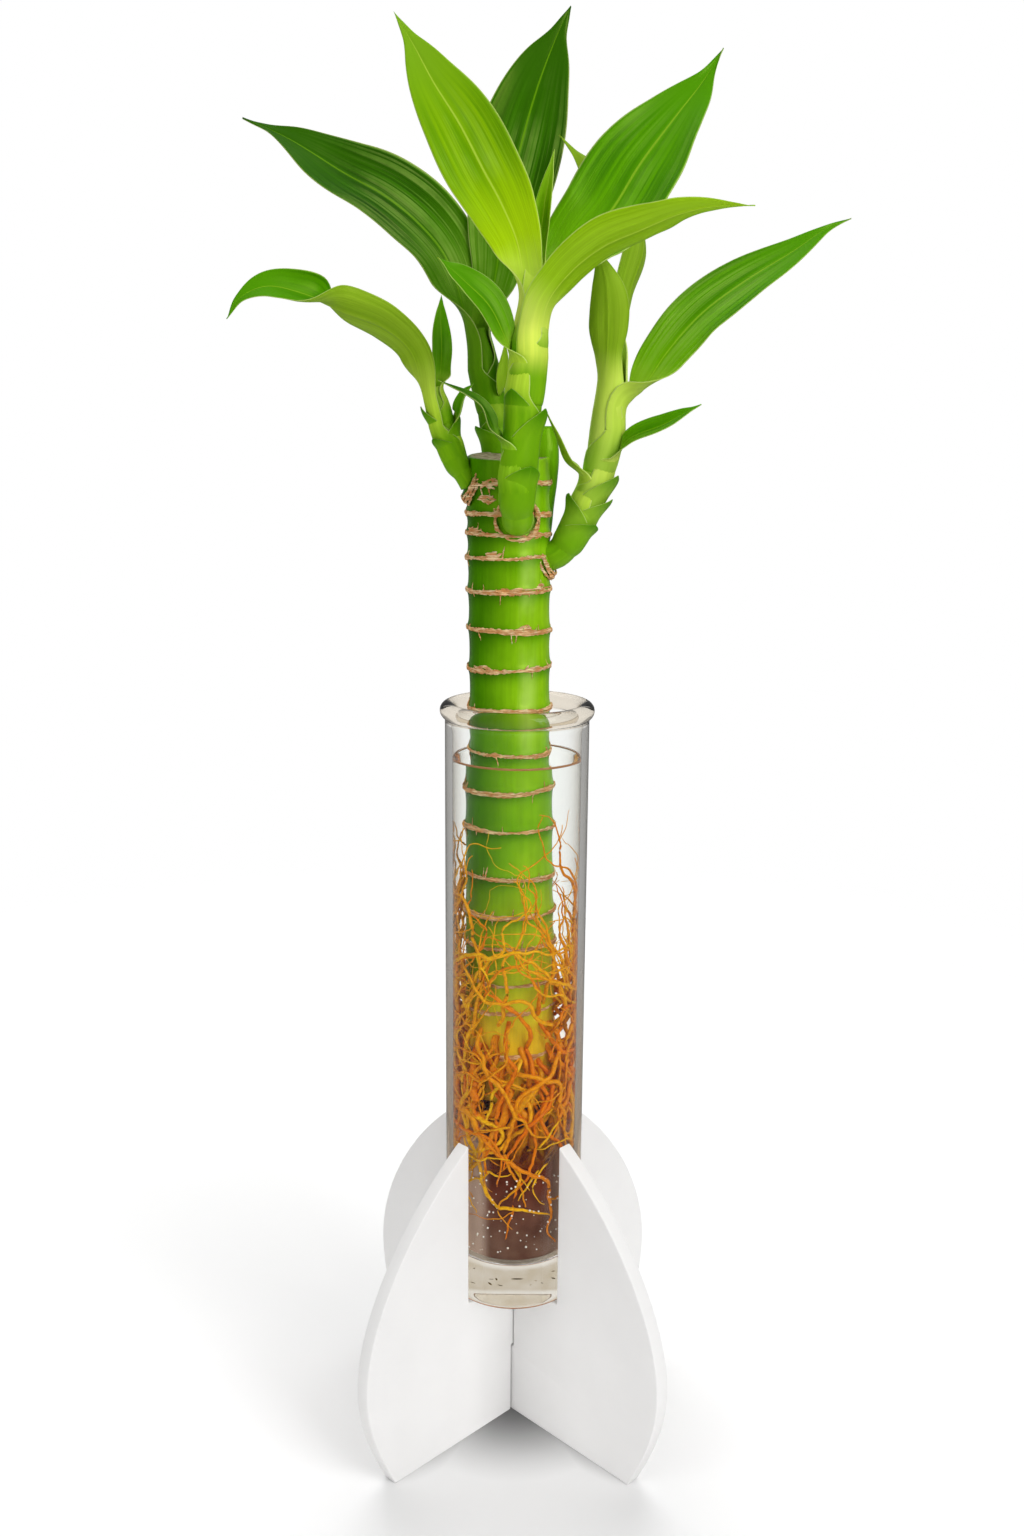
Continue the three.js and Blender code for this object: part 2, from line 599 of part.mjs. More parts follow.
const onShaft = (radius, turn, z) => vec(radius * Math.cos(turn), radius * Math.sin(turn), z);

// Strands that climb beside the glass, that wind round the crown and that trail below it
function strands() {
  const chance = seeded(23);
  const around = (count) =>
    Array.from({ length: count }, (_, i) => (2 * Math.PI * (i + 0.7 * chance())) / count);
  const climbing = around(13).map((turn) => {
    const top = mix(142, 190, chance());
    const drift = mix(-0.8, 0.8, chance());
    return {
      path: [onShaft(13.2, turn, 102 + 12 * chance()), onShaft(15.2, turn + 0.3 * drift, 122),
        onShaft(15.3, turn + 0.7 * drift, mix(122, top, 0.4)), onShaft(15, turn + drift, mix(122, top, 0.75)),
        onShaft(15.3, turn + 0.5 * drift, top)],
      radii: [0.9, 0.75, 0.65, 0.5],
    };
  });
  const winding = around(13).map((turn) => {
    const z = mix(90, 122, chance());
    const drift = mix(-1.1, 1.1, chance());
    return {
      path: [onShaft(12.6, turn, z), onShaft(15.1, turn + 0.3 * drift, z + 3),
        onShaft(15.2, turn + drift, z - 3), onShaft(12.6, turn + 1.4 * drift, z - 8)],
      radii: [1, 0.85, 0.8, 0.75],
    };
  });
  const trailing = around(12).map((turn) => {
    const low = mix(67, 80, chance());
    const drift = mix(-0.9, 0.9, chance());
    return {
      path: [onShaft(8, turn, 94), onShaft(11.8, turn + 0.3 * drift, 87),
        onShaft(13.2, turn + 0.8 * drift, mix(87, low, 0.6)), onShaft(9.5, turn + 1.5 * drift, low)],
      radii: [1.2, 1, 0.8, 0.5],
    };
  });
  return [...climbing, ...winding, ...trailing];
}

function roots() {
  const mat = unionOf([crownBody(), ...strands().map(({ path, radii }) => rod(path, radii, 4, 6))]);
  return geometryFrom(outerBody(mat.subtract(solidOf(canePocket()))));
}
addPiece('roots', roots(), rootOrange());

export default plant;
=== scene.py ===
import math
import random

import bpy
import numpy as np
from mathutils import Matrix, Vector


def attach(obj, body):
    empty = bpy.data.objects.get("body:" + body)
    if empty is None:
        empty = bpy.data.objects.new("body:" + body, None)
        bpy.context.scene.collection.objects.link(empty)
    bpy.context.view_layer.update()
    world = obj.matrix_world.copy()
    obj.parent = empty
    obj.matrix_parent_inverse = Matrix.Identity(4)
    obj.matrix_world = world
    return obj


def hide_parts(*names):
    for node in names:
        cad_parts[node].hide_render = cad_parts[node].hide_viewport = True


# A lucky bamboo: a cut cane with four leafy shoots, rooted in water in a rimmed glass tube, which
# stands in two crossed plates. Shapes are worked out in millimetres and made in metres.
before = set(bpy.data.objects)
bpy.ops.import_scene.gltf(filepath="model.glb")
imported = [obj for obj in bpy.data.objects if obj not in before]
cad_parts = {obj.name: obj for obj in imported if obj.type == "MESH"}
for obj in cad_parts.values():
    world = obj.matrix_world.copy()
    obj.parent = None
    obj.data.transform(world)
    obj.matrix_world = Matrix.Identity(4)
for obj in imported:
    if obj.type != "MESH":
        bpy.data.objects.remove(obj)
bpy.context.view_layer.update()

MM = 0.001

# Driving sizes in millimetres. They are the solids' own, but for a rounder floor in the tube and
# a cane that reaches 1 mm lower into the roots and has a finer edge at its cut top.
STAND = {
    "thick": 4.5,
    "foot_reach": 49.0,
    "bulge_reach": 58.8,
    "bulge_height": 33.0,
    "top_height": 94.5,
    "seat": 44.5,
    "foot_handle": (54.5, 11.0),
    "bulge_handles": (21.0, 52.0),
    "top_handle": (44.5, 76.5),
    "slot": 20.3,
    "lap": 2.55,
    "gap": 0.3,
    "eased": 0.45,
}
TUBE = {
    "radius": 20.0,
    "wall": 2.0,
    "foot": 44.8,
    "floor": 58.0,
    "rim_height": 218.2,
    "rim_centre": 19.0,
    "rim_round": 2.4,
    "foot_round": 1.6,
    "floor_round": 1.6,
}
WATER = {"top": 204.9, "skin": 0.05, "climb": 0.7, "murk_top": 104.0}
CANE = {
    "foot": 104.0,
    "top": 286.8,
    "radius_foot": 11.6,
    "radius_top": 11.0,
    "lean_foot": -1.0,
    "lean_top": -2.9,
    "slim": (105.0, 205.0),
    "edge": 0.6,
}
RING_HEIGHTS = [
    120.5, 133.5, 142, 152.5, 161.5, 172.5, 186, 197, 207.5,
    219.5, 230.5, 241, 251.5, 260.5, 266.5, 272, 279.5,
]
ROUND = 96
FULL_TURN = 2 * math.pi


# Small helpers for shapes


def vec(*numbers):
    return np.array(numbers, float)


def unit(vector):
    return vector / max(np.linalg.norm(vector), 1e-9)


def mix(low, high, share):
    return low + (high - low) * share


def smooth(low, high, value):
    share = np.clip((value - low) / (high - low), 0.0, 1.0)
    return share * share * (3 - 2 * share)


def square_to(vector, way):
    """The part of a vector that is square to a direction, at length 1."""
    return unit(vector - way * np.dot(vector, way))


def steps_at(values, share):
    """Reads a list of values as a curve over 0 to 1, straight between them."""
    return float(np.interp(share, np.linspace(0, 1, len(values)), values))


def waves(seed, count=5, rough=1.6):
    """A smooth wandering function of an angle, from about -1 to 1, that closes on itself."""
    chance = random.Random(seed)
    terms = [(k, chance.uniform(0.4, 1.0) / k ** (1 / rough), chance.uniform(0, FULL_TURN))
             for k in range(1, count + 1)]
    total = sum(size for _, size, _ in terms)
    return lambda turn: sum(size * np.sin(k * turn + start) for k, size, start in terms) / total


def turns_round(sides):
    """Headings spread evenly round a circle."""
    return [FULL_TURN * j / sides for j in range(sides)]


def polar(turn, radius=1.0, height=0.0):
    """The point at a heading and a radius round the Z axis."""
    return vec(radius * math.cos(turn), radius * math.sin(turn), height)


class Path:
    """A centripetal Catmull-Rom curve through points, read by the share of its length."""

    def __init__(self, points, fine=48):
        points = [np.array(p, float) for p in points]
        before = 2 * points[0] - points[1]
        after = 2 * points[-1] - points[-2]
        knots = [before, *points, after]
        made = [points[0]]
        for i in range(1, len(knots) - 2):
            made += self.span(knots[i - 1:i + 3], fine)
        self.points = np.array(made)
        steps = np.linalg.norm(np.diff(self.points, axis=0), axis=1)
        self.lengths = np.concatenate([[0], np.cumsum(steps)])
        self.length = self.lengths[-1]

    @staticmethod
    def span(knots, fine):
        a, b, c, d = knots
        pairs = ((a, b), (b, c), (c, d))
        first, middle, last = (max(math.sqrt(np.linalg.norm(q - p)), 1e-2) for p, q in pairs)
        leave = middle * ((b - a) / first - (c - a) / (first + middle) + (c - b) / middle)
        arrive = middle * ((c - b) / middle - (d - b) / (middle + last) + (d - c) / last)
        square = 3 * (c - b) - 2 * leave - arrive
        cube = 2 * (b - c) + leave + arrive
        return [b + t * (leave + t * (square + t * cube)) for t in np.linspace(0, 1, fine + 1)[1:]]

    def spot(self, where):
        """The point at a length along the line."""
        return vec(*(np.interp(where, self.lengths, self.points[:, k]) for k in range(3)))

    def at(self, share):
        """The point at a share of the length. Past either end the line runs on straight."""
        inside = np.clip(share, 0, 1)
        return self.spot(inside * self.length) + self.way(share) * (share - inside) * self.length

    def way(self, share):
        """The direction of the line, over a short stretch round a share of its length."""
        low = np.clip(share - 0.004, 0, 0.992) * self.length
        high = low + 0.008 * self.length
        return unit(self.spot(high) - self.spot(low))


# Small helpers for meshes


def grid_faces(rows, columns, start=0, closed=False, flip=False):
    """Four-sided faces of a grid of points stored row by row."""
    faces = []
    across = columns if closed else columns - 1
    for i in range(rows - 1):
        for j in range(across):
            a = start + i * columns + j
            b = start + i * columns + (j + 1) % columns
            face = (a, b, b + columns, a + columns)
            faces.append(face[::-1] if flip else face)
    return faces


def close_ends(points, sides, low, high):
    """Adds an end point below and above rings of points, and gives the faces of the closed rod."""
    start = len(points)
    last = start - sides
    points += [low, high]
    faces = grid_faces(start // sides, sides, closed=True)
    faces += [((j + 1) % sides, j, start) for j in range(sides)]
    faces += [(last + j, last + (j + 1) % sides, start + 1) for j in range(sides)]
    return faces


def piece(name, points, faces, surface, shiny=True, floats=None, face_floats=None, uv=None):
    """A mesh object from points in millimetres, with named values on its points or faces."""
    mesh = bpy.data.meshes.new(name)
    mesh.from_pydata((np.asarray(points, float) * MM).tolist(), [], faces)
    mesh.update()
    for domain, table in (("POINT", floats or {}), ("FACE", face_floats or {})):
        for label, values in table.items():
            attribute = mesh.attributes.new(label, "FLOAT", domain)
            attribute.data.foreach_set("value", np.asarray(values, np.float32))
    if uv is not None:
        layer = mesh.uv_layers.new(name="flat")
        corners = np.zeros(len(mesh.loops), np.int32)
        mesh.loops.foreach_get("vertex_index", corners)
        layer.data.foreach_set("uv", np.asarray(uv, np.float32)[corners].ravel())
    mesh.polygons.foreach_set("use_smooth", [shiny] * len(mesh.polygons))
    mesh.materials.append(surface)
    obj = bpy.data.objects.new(name, mesh)
    bpy.context.scene.collection.objects.link(obj)
    return obj


def keep(obj, slot, *nodes):
    """Makes a finished piece part of the object: it rides with it and stands for its solids."""
    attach(obj, "root")
    if nodes:
        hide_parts(*nodes)
    return obj


def plain_mesh(obj):
    """Turns an object's modifiers into its mesh."""
    evaluated = obj.evaluated_get(bpy.context.evaluated_depsgraph_get())
    mesh = bpy.data.meshes.new_from_object(evaluated)
    obj.modifiers.clear()
    obj.data = mesh
    return mesh


def turned(name, profile, surface, sides=ROUND):
    """A piece from a profile of (radius, height) turned round the Z axis, closed at both ends."""
    points = [polar(turn, radius, height) for radius, height in profile for turn in turns_round(sides)]
    faces = close_ends(points, sides, vec(0, 0, profile[0][1]), vec(0, 0, profile[-1][1]))
    return piece(name, points, faces, surface)


def arc(centre, height, radius, start, end, steps):
    turns = np.radians(np.linspace(start, end, steps + 1))
    return [(centre + radius * math.cos(t), height + radius * math.sin(t)) for t in turns]


def bent(shape, first, second, third, fourth, steps):
    """Adds a cubic curve's points to an outline, without its first one."""
    for t in np.linspace(0, 1, steps + 1)[1:]:
        u = 1 - t
        point = [u ** 3 * a + 3 * u * u * t * b + 3 * u * t * t * c + t ** 3 * d
                 for a, b, c, d in zip(first, second, third, fourth)]
        shape.append(tuple(point))


# Node trees


class Tree:
    """A node tree with short ways to add nodes and join them."""

    def __init__(self, tree):
        self.tree = tree

    def add(self, kind, inputs=None, **settings):
        node = self.tree.nodes.new(kind)
        for key, value in settings.items():
            setattr(node, key, value)
        self.fill(node, inputs or {})
        return node

    def fill(self, node, values):
        """Sets a node's inputs, by name or number, to plain values or to what other nodes put out."""
        for key, value in values.items():
            self.plug(node.inputs[key], value)

    def plug(self, socket, value):
        if isinstance(value, bpy.types.NodeSocket):
            self.tree.links.new(value, socket)
        else:
            socket.default_value = value

    def maths(self, operation, first, second=0.0):
        return self.add("ShaderNodeMath", {0: first, 1: second}, operation=operation).outputs[0]

    def plus(self, first, second):
        return self.maths("ADD", first, second)

    def less(self, first, second):
        return self.maths("SUBTRACT", first, second)

    def times(self, first, second):
        return self.maths("MULTIPLY", first, second)

    def vector(self, operation, first, second):
        return self.add("ShaderNodeVectorMath", {0: first, 1: second}, operation=operation).outputs[0]

    def scaled(self, vector, factor):
        return self.add("ShaderNodeVectorMath", {0: vector, "Scale": factor}, operation="SCALE").outputs[0]

    def parts(self, vector):
        """The X, Y and Z of a vector."""
        return self.add("ShaderNodeSeparateXYZ", {0: vector}).outputs[:]

    def shaded(self, share, colour, shade):
        """A colour multiplied by a shade, as far as the share says."""
        node = self.add("ShaderNodeMix", data_type="RGBA", blend_type="MULTIPLY")
        self.plug(node.inputs[0], share)
        self.plug(node.inputs[6], colour)
        self.plug(node.inputs[7], shade)
        return node.outputs[2]

    def blend(self, share, low, high):
        node = self.add("ShaderNodeMix", data_type="RGBA")
        self.plug(node.inputs[0], share)
        self.plug(node.inputs[6], low)
        self.plug(node.inputs[7], high)
        return node.outputs[2]

    def ramp(self, value, low, high, start=0.0, end=1.0):
        ports = {"Value": value, "From Min": low, "From Max": high, "To Min": start, "To Max": end}
        return self.add("ShaderNodeMapRange", ports, interpolation_type="SMOOTHSTEP").outputs[0]

    def noise(self, vector, scale, detail=2.0, rough=0.5):
        ports = {"Vector": vector, "Scale": scale, "Detail": detail, "Roughness": rough}
        return self.add("ShaderNodeTexNoise", ports).outputs[0]

    def group(self, group, **values):
        node = self.add("ShaderNodeGroup", node_tree=group)
        for key, value in values.items():
            self.plug(node.inputs[key.replace("_", " ").capitalize()], value)
        return node.outputs[0]

    def named(self, label):
        return self.add("ShaderNodeAttribute", attribute_name=label).outputs["Fac"]


def node_group(name, kind, inputs, result):
    """A node group with named inputs and one result, ready for its nodes."""
    group = bpy.data.node_groups.new(name, kind)
    for label, socket_kind, value in inputs:
        socket = group.interface.new_socket(label, in_out="INPUT", socket_type=socket_kind)
        if value is not None:
            socket.default_value = value
    label, socket_kind = result
    group.interface.new_socket(label, in_out="OUTPUT", socket_type=socket_kind)
    tree = Tree(group)
    return group, tree, tree.add("NodeGroupInput").outputs, tree.add("NodeGroupOutput").inputs[0]


def shader_group(name, inputs):
    return node_group(name, "ShaderNodeTree", inputs, ("Result", "NodeSocketFloat"))


def sharpen(tree, value, contrast):
    """Spreads a value over a window round its middle. The contrast is the width of the window."""
    half = tree.times(contrast, 0.5)
    return tree.ramp(value, tree.less(0.5, half), tree.plus(0.5, half))


def make_streaks():
    """Long fine lines that run one way, such as the veins of a leaf or the fibres of a cane."""
    group, tree, port, result = shader_group("streaks", [
        ("Vector", "NodeSocketVector", None),
        ("Across", "NodeSocketFloat", 20.0),
        ("Along", "NodeSocketFloat", 1.0),
        ("Contrast", "NodeSocketFloat", 0.5),
    ])
    scale = tree.add("ShaderNodeCombineXYZ", {0: port["Across"], 1: port["Across"], 2: port["Along"]})
    drawn = tree.vector("MULTIPLY", port["Vector"], scale.outputs[0])
    tree.plug(result, sharpen(tree, tree.noise(drawn, 1.0, 3.0, 0.6), port["Contrast"]))
    return group


def make_mottle():
    """Soft patches that break up an even colour."""
    group, tree, port, result = shader_group("mottle", [
        ("Vector", "NodeSocketVector", None),
        ("Scale", "NodeSocketFloat", 100.0),
        ("Contrast", "NodeSocketFloat", 0.4),
    ])
    patches = tree.noise(port["Vector"], port["Scale"], 4.0, 0.55)
    tree.plug(result, sharpen(tree, patches, port["Contrast"]))
    return group


BLACK = (0.0, 0.0, 0.0, 1.0)
GREEN_SHEEN = (0.8, 1.0, 0.15, 1.0)
ORANGE_SHEEN = (1.0, 0.8, 0.3, 1.0)
STREAKS = make_streaks()
MOTTLE = make_mottle()


def tone(code):
    """A linear colour from an sRGB one written as a hexadecimal number."""
    parts = [((code >> shift) & 255) / 255 for shift in (16, 8, 0)]
    return (*(p / 12.92 if p <= 0.04045 else ((p + 0.055) / 1.055) ** 2.4 for p in parts), 1.0)


def lighter(code):
    """A lighter neighbour of an sRGB colour, linear."""
    red, green, blue, _ = tone(code)
    return (min(red * 1.35 + 0.01, 1), min(green * 1.25 + 0.01, 1), min(blue * 1.3 + 0.01, 1), 1.0)


def material(name):
    """A new material with its tree, its Principled shader and its object coordinates."""
    made = bpy.data.materials.new(name)
    made.use_nodes = True
    made.node_tree.nodes.clear()
    tree = Tree(made.node_tree)
    shader = tree.add("ShaderNodeBsdfPrincipled")
    output = tree.add("ShaderNodeOutputMaterial")
    tree.plug(output.inputs["Surface"], shader.outputs[0])
    place = tree.add("ShaderNodeTexCoord").outputs["Object"]
    return made, tree, shader, output, place


def bump(tree, shader, height, depth, strength):
    node = tree.add("ShaderNodeBump", {"Height": height, "Distance": depth, "Strength": strength})
    tree.plug(shader.inputs["Normal"], node.outputs[0])


# Materials


def stand_white():
    made, tree, shader, _, place = material("satin white sheet")
    cloud = tree.group(MOTTLE, vector=place, scale=60.0, contrast=0.8)
    grain = tree.noise(place, 2600.0, 3.0)
    tree.fill(shader, {
        "Base Color": tree.blend(cloud, tone(0xF1F0EF), tone(0xF5F4F3)),
        "Roughness": tree.ramp(grain, 0.3, 0.7, 0.42, 0.52),
        "Specular IOR Level": 0.35,
    })
    bump(tree, shader, grain, 0.00003, 0.25)
    return made


def see_through(tree, shader, output, colour, bending, tint):
    """Makes a clear material. Shadow rays and soft light pass it straight, with a light tint."""
    tree.fill(shader, {"Base Color": colour, "Roughness": 0.0, "IOR": bending, "Transmission Weight": 1.0})
    path = tree.add("ShaderNodeLightPath")
    passed = tree.maths("MAXIMUM", path.outputs["Is Shadow Ray"], path.outputs["Is Diffuse Ray"])
    passing = tree.add("ShaderNodeBsdfTransparent", {"Color": tint})
    both = tree.add("ShaderNodeMixShader", {0: passed, 1: shader.outputs[0], 2: passing.outputs[0]})
    tree.plug(output.inputs["Surface"], both.outputs[0])


def clear_glass():
    """Clear from the front, with a painted reflection where it is seen edge on, grey and warm copper beside
    the roots, a cloudy foot and a painted dark outline.
    """
    made, tree, shader, output, place = material("clear glass")
    height = tree.parts(place)[2]
    at_rim = tree.ramp(height, 0.2150, 0.2165)
    in_foot = tree.times(tree.ramp(height, 0.0590, 0.0575), tree.ramp(height, 0.0455, 0.0465))
    by_roots = tree.ramp(height, 0.165, 0.105)
    edge = tree.add("ShaderNodeLayerWeight", {"Blend": 0.4}).outputs["Facing"]
    cloud = tree.group(MOTTLE, vector=place, scale=160.0, contrast=0.6)
    # Painted reflection: seen edge on, the wall turns grey, and warm copper beside the roots.
    edge_reflection = tree.blend(by_roots, tone(0xD6D2CA), tone(0xE2B68A))
    wall = tree.blend(tree.ramp(edge, 0.15, 0.7), tone(0xFCFDFC), edge_reflection)
    wall = tree.blend(at_rim, wall, tone(0xE6DED0))
    wall = tree.blend(in_foot, wall, tree.blend(cloud, tone(0xB6A88E), tone(0xD2CABC)))
    # A painted dark outline where the wall is seen most edge on, paler at the rim.
    outline = tree.blend(at_rim, tone(0x5E5242), tone(0x94846C))
    colour = tree.blend(tree.ramp(edge, 0.62, 0.93), wall, outline)
    see_through(tree, shader, output, colour, 1.27, (0.97, 0.98, 0.97, 1.0))
    return made


def still_water():
    made, tree, shader, output, _ = material("still water")
    see_through(tree, shader, output, tone(0xFDFEFC), 1.1, (0.98, 0.98, 0.97, 1.0))
    return made


def water_edge():
    # Painted reflection: this amber stands for the orange roots seen refracted at the water's edge. The thin
    # lines at the tube's floor and foot share it.
    made, tree, shader, _, place = material("amber water edge")
    amber = tree.blend(tree.noise(place, 220.0), tone(0x9A5A28), tone(0xD0925A))
    tree.fill(shader, {"Base Color": amber, "Roughness": 0.15, "Alpha": 0.75})
    return made


def murky_water():
    """Brown and cloudy, redder and then clearer towards its top, with painted light down its front's two
    sides.
    """
    made, tree, shader, _, place = material("murky water")
    aside, ahead, height = tree.parts(place)
    wisps = tree.group(MOTTLE, vector=place, scale=90.0, contrast=0.7)
    low = tree.blend(wisps, tone(0x4A2618), tone(0x866252))
    high = tree.blend(wisps, tone(0x3A140A), tone(0x76301A))
    body = tree.blend(tree.ramp(height, 0.062, 0.086), low, high)
    # Painted light: the front's two sides are paler, the left more than the right.
    left = tree.ramp(aside, -0.006, -0.0105, 0.0, 0.9)
    right = tree.ramp(aside, 0.008, 0.014, 0.0, 0.5)
    sides = tree.times(tree.maths("MAXIMUM", left, right), tree.ramp(ahead, 0.002, -0.006))
    tree.fill(shader, {
        "Base Color": tree.blend(sides, body, tone(0xE8C4B0)),
        "Alpha": tree.ramp(height, 0.082, WATER["murk_top"] * MM, 0.96, 0.0),
        "Specular IOR Level": 0.0,
        "Roughness": 0.35,
    })
    return made


def air_bubble():
    made, tree, shader, _, place = material("air bubbles and specks")
    shade = tree.ramp(tree.noise(place, 900.0), 0.35, 0.65)
    tree.fill(shader, {"Base Color": tree.blend(shade, tone(0xE8D8C8), tone(0xFFFFFF)), "Roughness": 0.1})
    return made


def foot_speck():
    made, tree, shader, _, place = material("brown specks in the foot")
    shade = tree.noise(place, 700.0)
    tree.fill(shader, {"Base Color": tree.blend(shade, tone(0x5A3A14), tone(0x8F7A3A)), "Roughness": 0.6})
    return made


def cane_skin():
    """Green with painted light on its right side and painted shade on its left, yellow towards the foot,
    painted shade under the scars, a painted highlight down its front, and dry on the cut top.
    """
    made, tree, shader, _, place = material("green cane skin")
    aside, _, height = tree.parts(place)
    fibres = tree.group(STREAKS, vector=place, across=900.0, along=40.0, contrast=0.5)
    patches = tree.group(MOTTLE, vector=place, scale=70.0, contrast=0.6)
    # Painted light and shade: the skin is lighter and yellower on its right side and darker on its left.
    lit_side = tree.ramp(aside, -0.012, 0.005)
    left = tree.blend(patches, tone(0x387400), tone(0x509400))
    right = tree.blend(patches, tone(0x78B800), tone(0xA2D81C))
    upper = tree.blend(lit_side, left, right)
    lower = tree.blend(lit_side, tree.blend(patches, tone(0x7CA000), tone(0x9CC000)), tone(0xD4EC28))
    foot = tree.blend(patches, tone(0xECB410), tone(0xFFE43C))
    skin = tree.blend(tree.ramp(height, 0.180, 0.144), upper, lower)
    skin = tree.blend(tree.ramp(height, 0.148, 0.122), skin, foot)
    # Painted shade: darker green just under each scar, and on the stub and the bosses.
    scar_shade_mask = tree.times(tree.named("knot"), tree.ramp(height, 0.138, 0.17, 0.15, 0.85))
    skin = tree.blend(scar_shade_mask, skin, tree.blend(lit_side, tone(0x205600), tone(0x468E00)))
    skin = tree.shaded(0.25, skin, tree.blend(fibres, tone(0x9AA080), tone(0xFFFFFF)))
    # A painted highlight: pale patches in a band down the front, high up the cane.
    band = tree.times(tree.ramp(aside, -0.0005, 0.0022), tree.ramp(aside, 0.0062, 0.003))
    glints = tree.group(MOTTLE, vector=place, scale=55.0, contrast=0.35)
    painted_highlight = tree.times(tree.times(band, glints), tree.ramp(height, 0.19, 0.215, 0.0, 0.4))
    skin = tree.blend(painted_highlight, skin, tone(0xC8E878))
    cut = tree.named("cut")
    crumbs = tree.group(MOTTLE, vector=place, scale=700.0, contrast=0.5)
    dried = tree.blend(crumbs, tone(0x6E5A4A), tone(0xB8AA92))
    rough = tree.plus(cut, tree.times(fibres, 0.15))
    tree.fill(shader, {
        "Base Color": tree.blend(cut, skin, dried),
        "Roughness": tree.ramp(rough, 0.0, 1.0, 0.22, 0.75),
        "Specular IOR Level": 0.4,
        "Specular Tint": GREEN_SHEEN,
    })
    bump(tree, shader, fibres, 0.00012, 0.35)
    return made


def scar_cork():
    made, tree, shader, _, place = material("pale brown scar bark")
    fibres = tree.group(STREAKS, vector=place, across=420.0, along=3200.0, contrast=0.24)
    patches = tree.group(MOTTLE, vector=place, scale=260.0, contrast=0.5)
    warm = tree.blend(patches, tone(0xF8BC7C), tone(0xFFEBBE))
    tree.fill(shader, {
        "Base Color": tree.blend(fibres, tone(0xD08A50), warm),
        "Roughness": 0.65,
        "Specular IOR Level": 0.1,
    })
    bump(tree, shader, fibres, 0.0003, 0.8)
    return made


def root_skin():
    made, tree, shader, _, place = material("orange roots")
    fibres = tree.noise(place, 800.0, 3.0, 0.6)
    body = tree.blend(tree.named("tone"), tone(0xE87200), tone(0xFFC814))
    grain = tree.blend(tree.ramp(fibres, 0.3, 0.6), tone(0xB87A40), tone(0xFFFFFF))
    tree.fill(shader, {
        "Base Color": tree.shaded(0.45, body, grain),
        "Roughness": 0.3,
        "Specular IOR Level": 0.35,
        "Specular Tint": ORANGE_SHEEN,
    })
    bump(tree, shader, fibres, 0.0002, 0.5)
    return made


def dark_crown():
    made, tree, shader, _, place = material("dark root crown")
    patches = tree.group(MOTTLE, vector=place, scale=300.0, contrast=0.4)
    tree.fill(shader, {"Base Color": tree.blend(patches, tone(0x2A0F06), tone(0x70350C)), "Roughness": 0.6})
    bump(tree, shader, patches, 0.0008, 0.8)
    return made


def calmed(tree, value, calm):
    """Draws a value in towards its middle where calm is low."""
    return tree.plus(0.5, tree.times(tree.less(value, 0.5), calm))


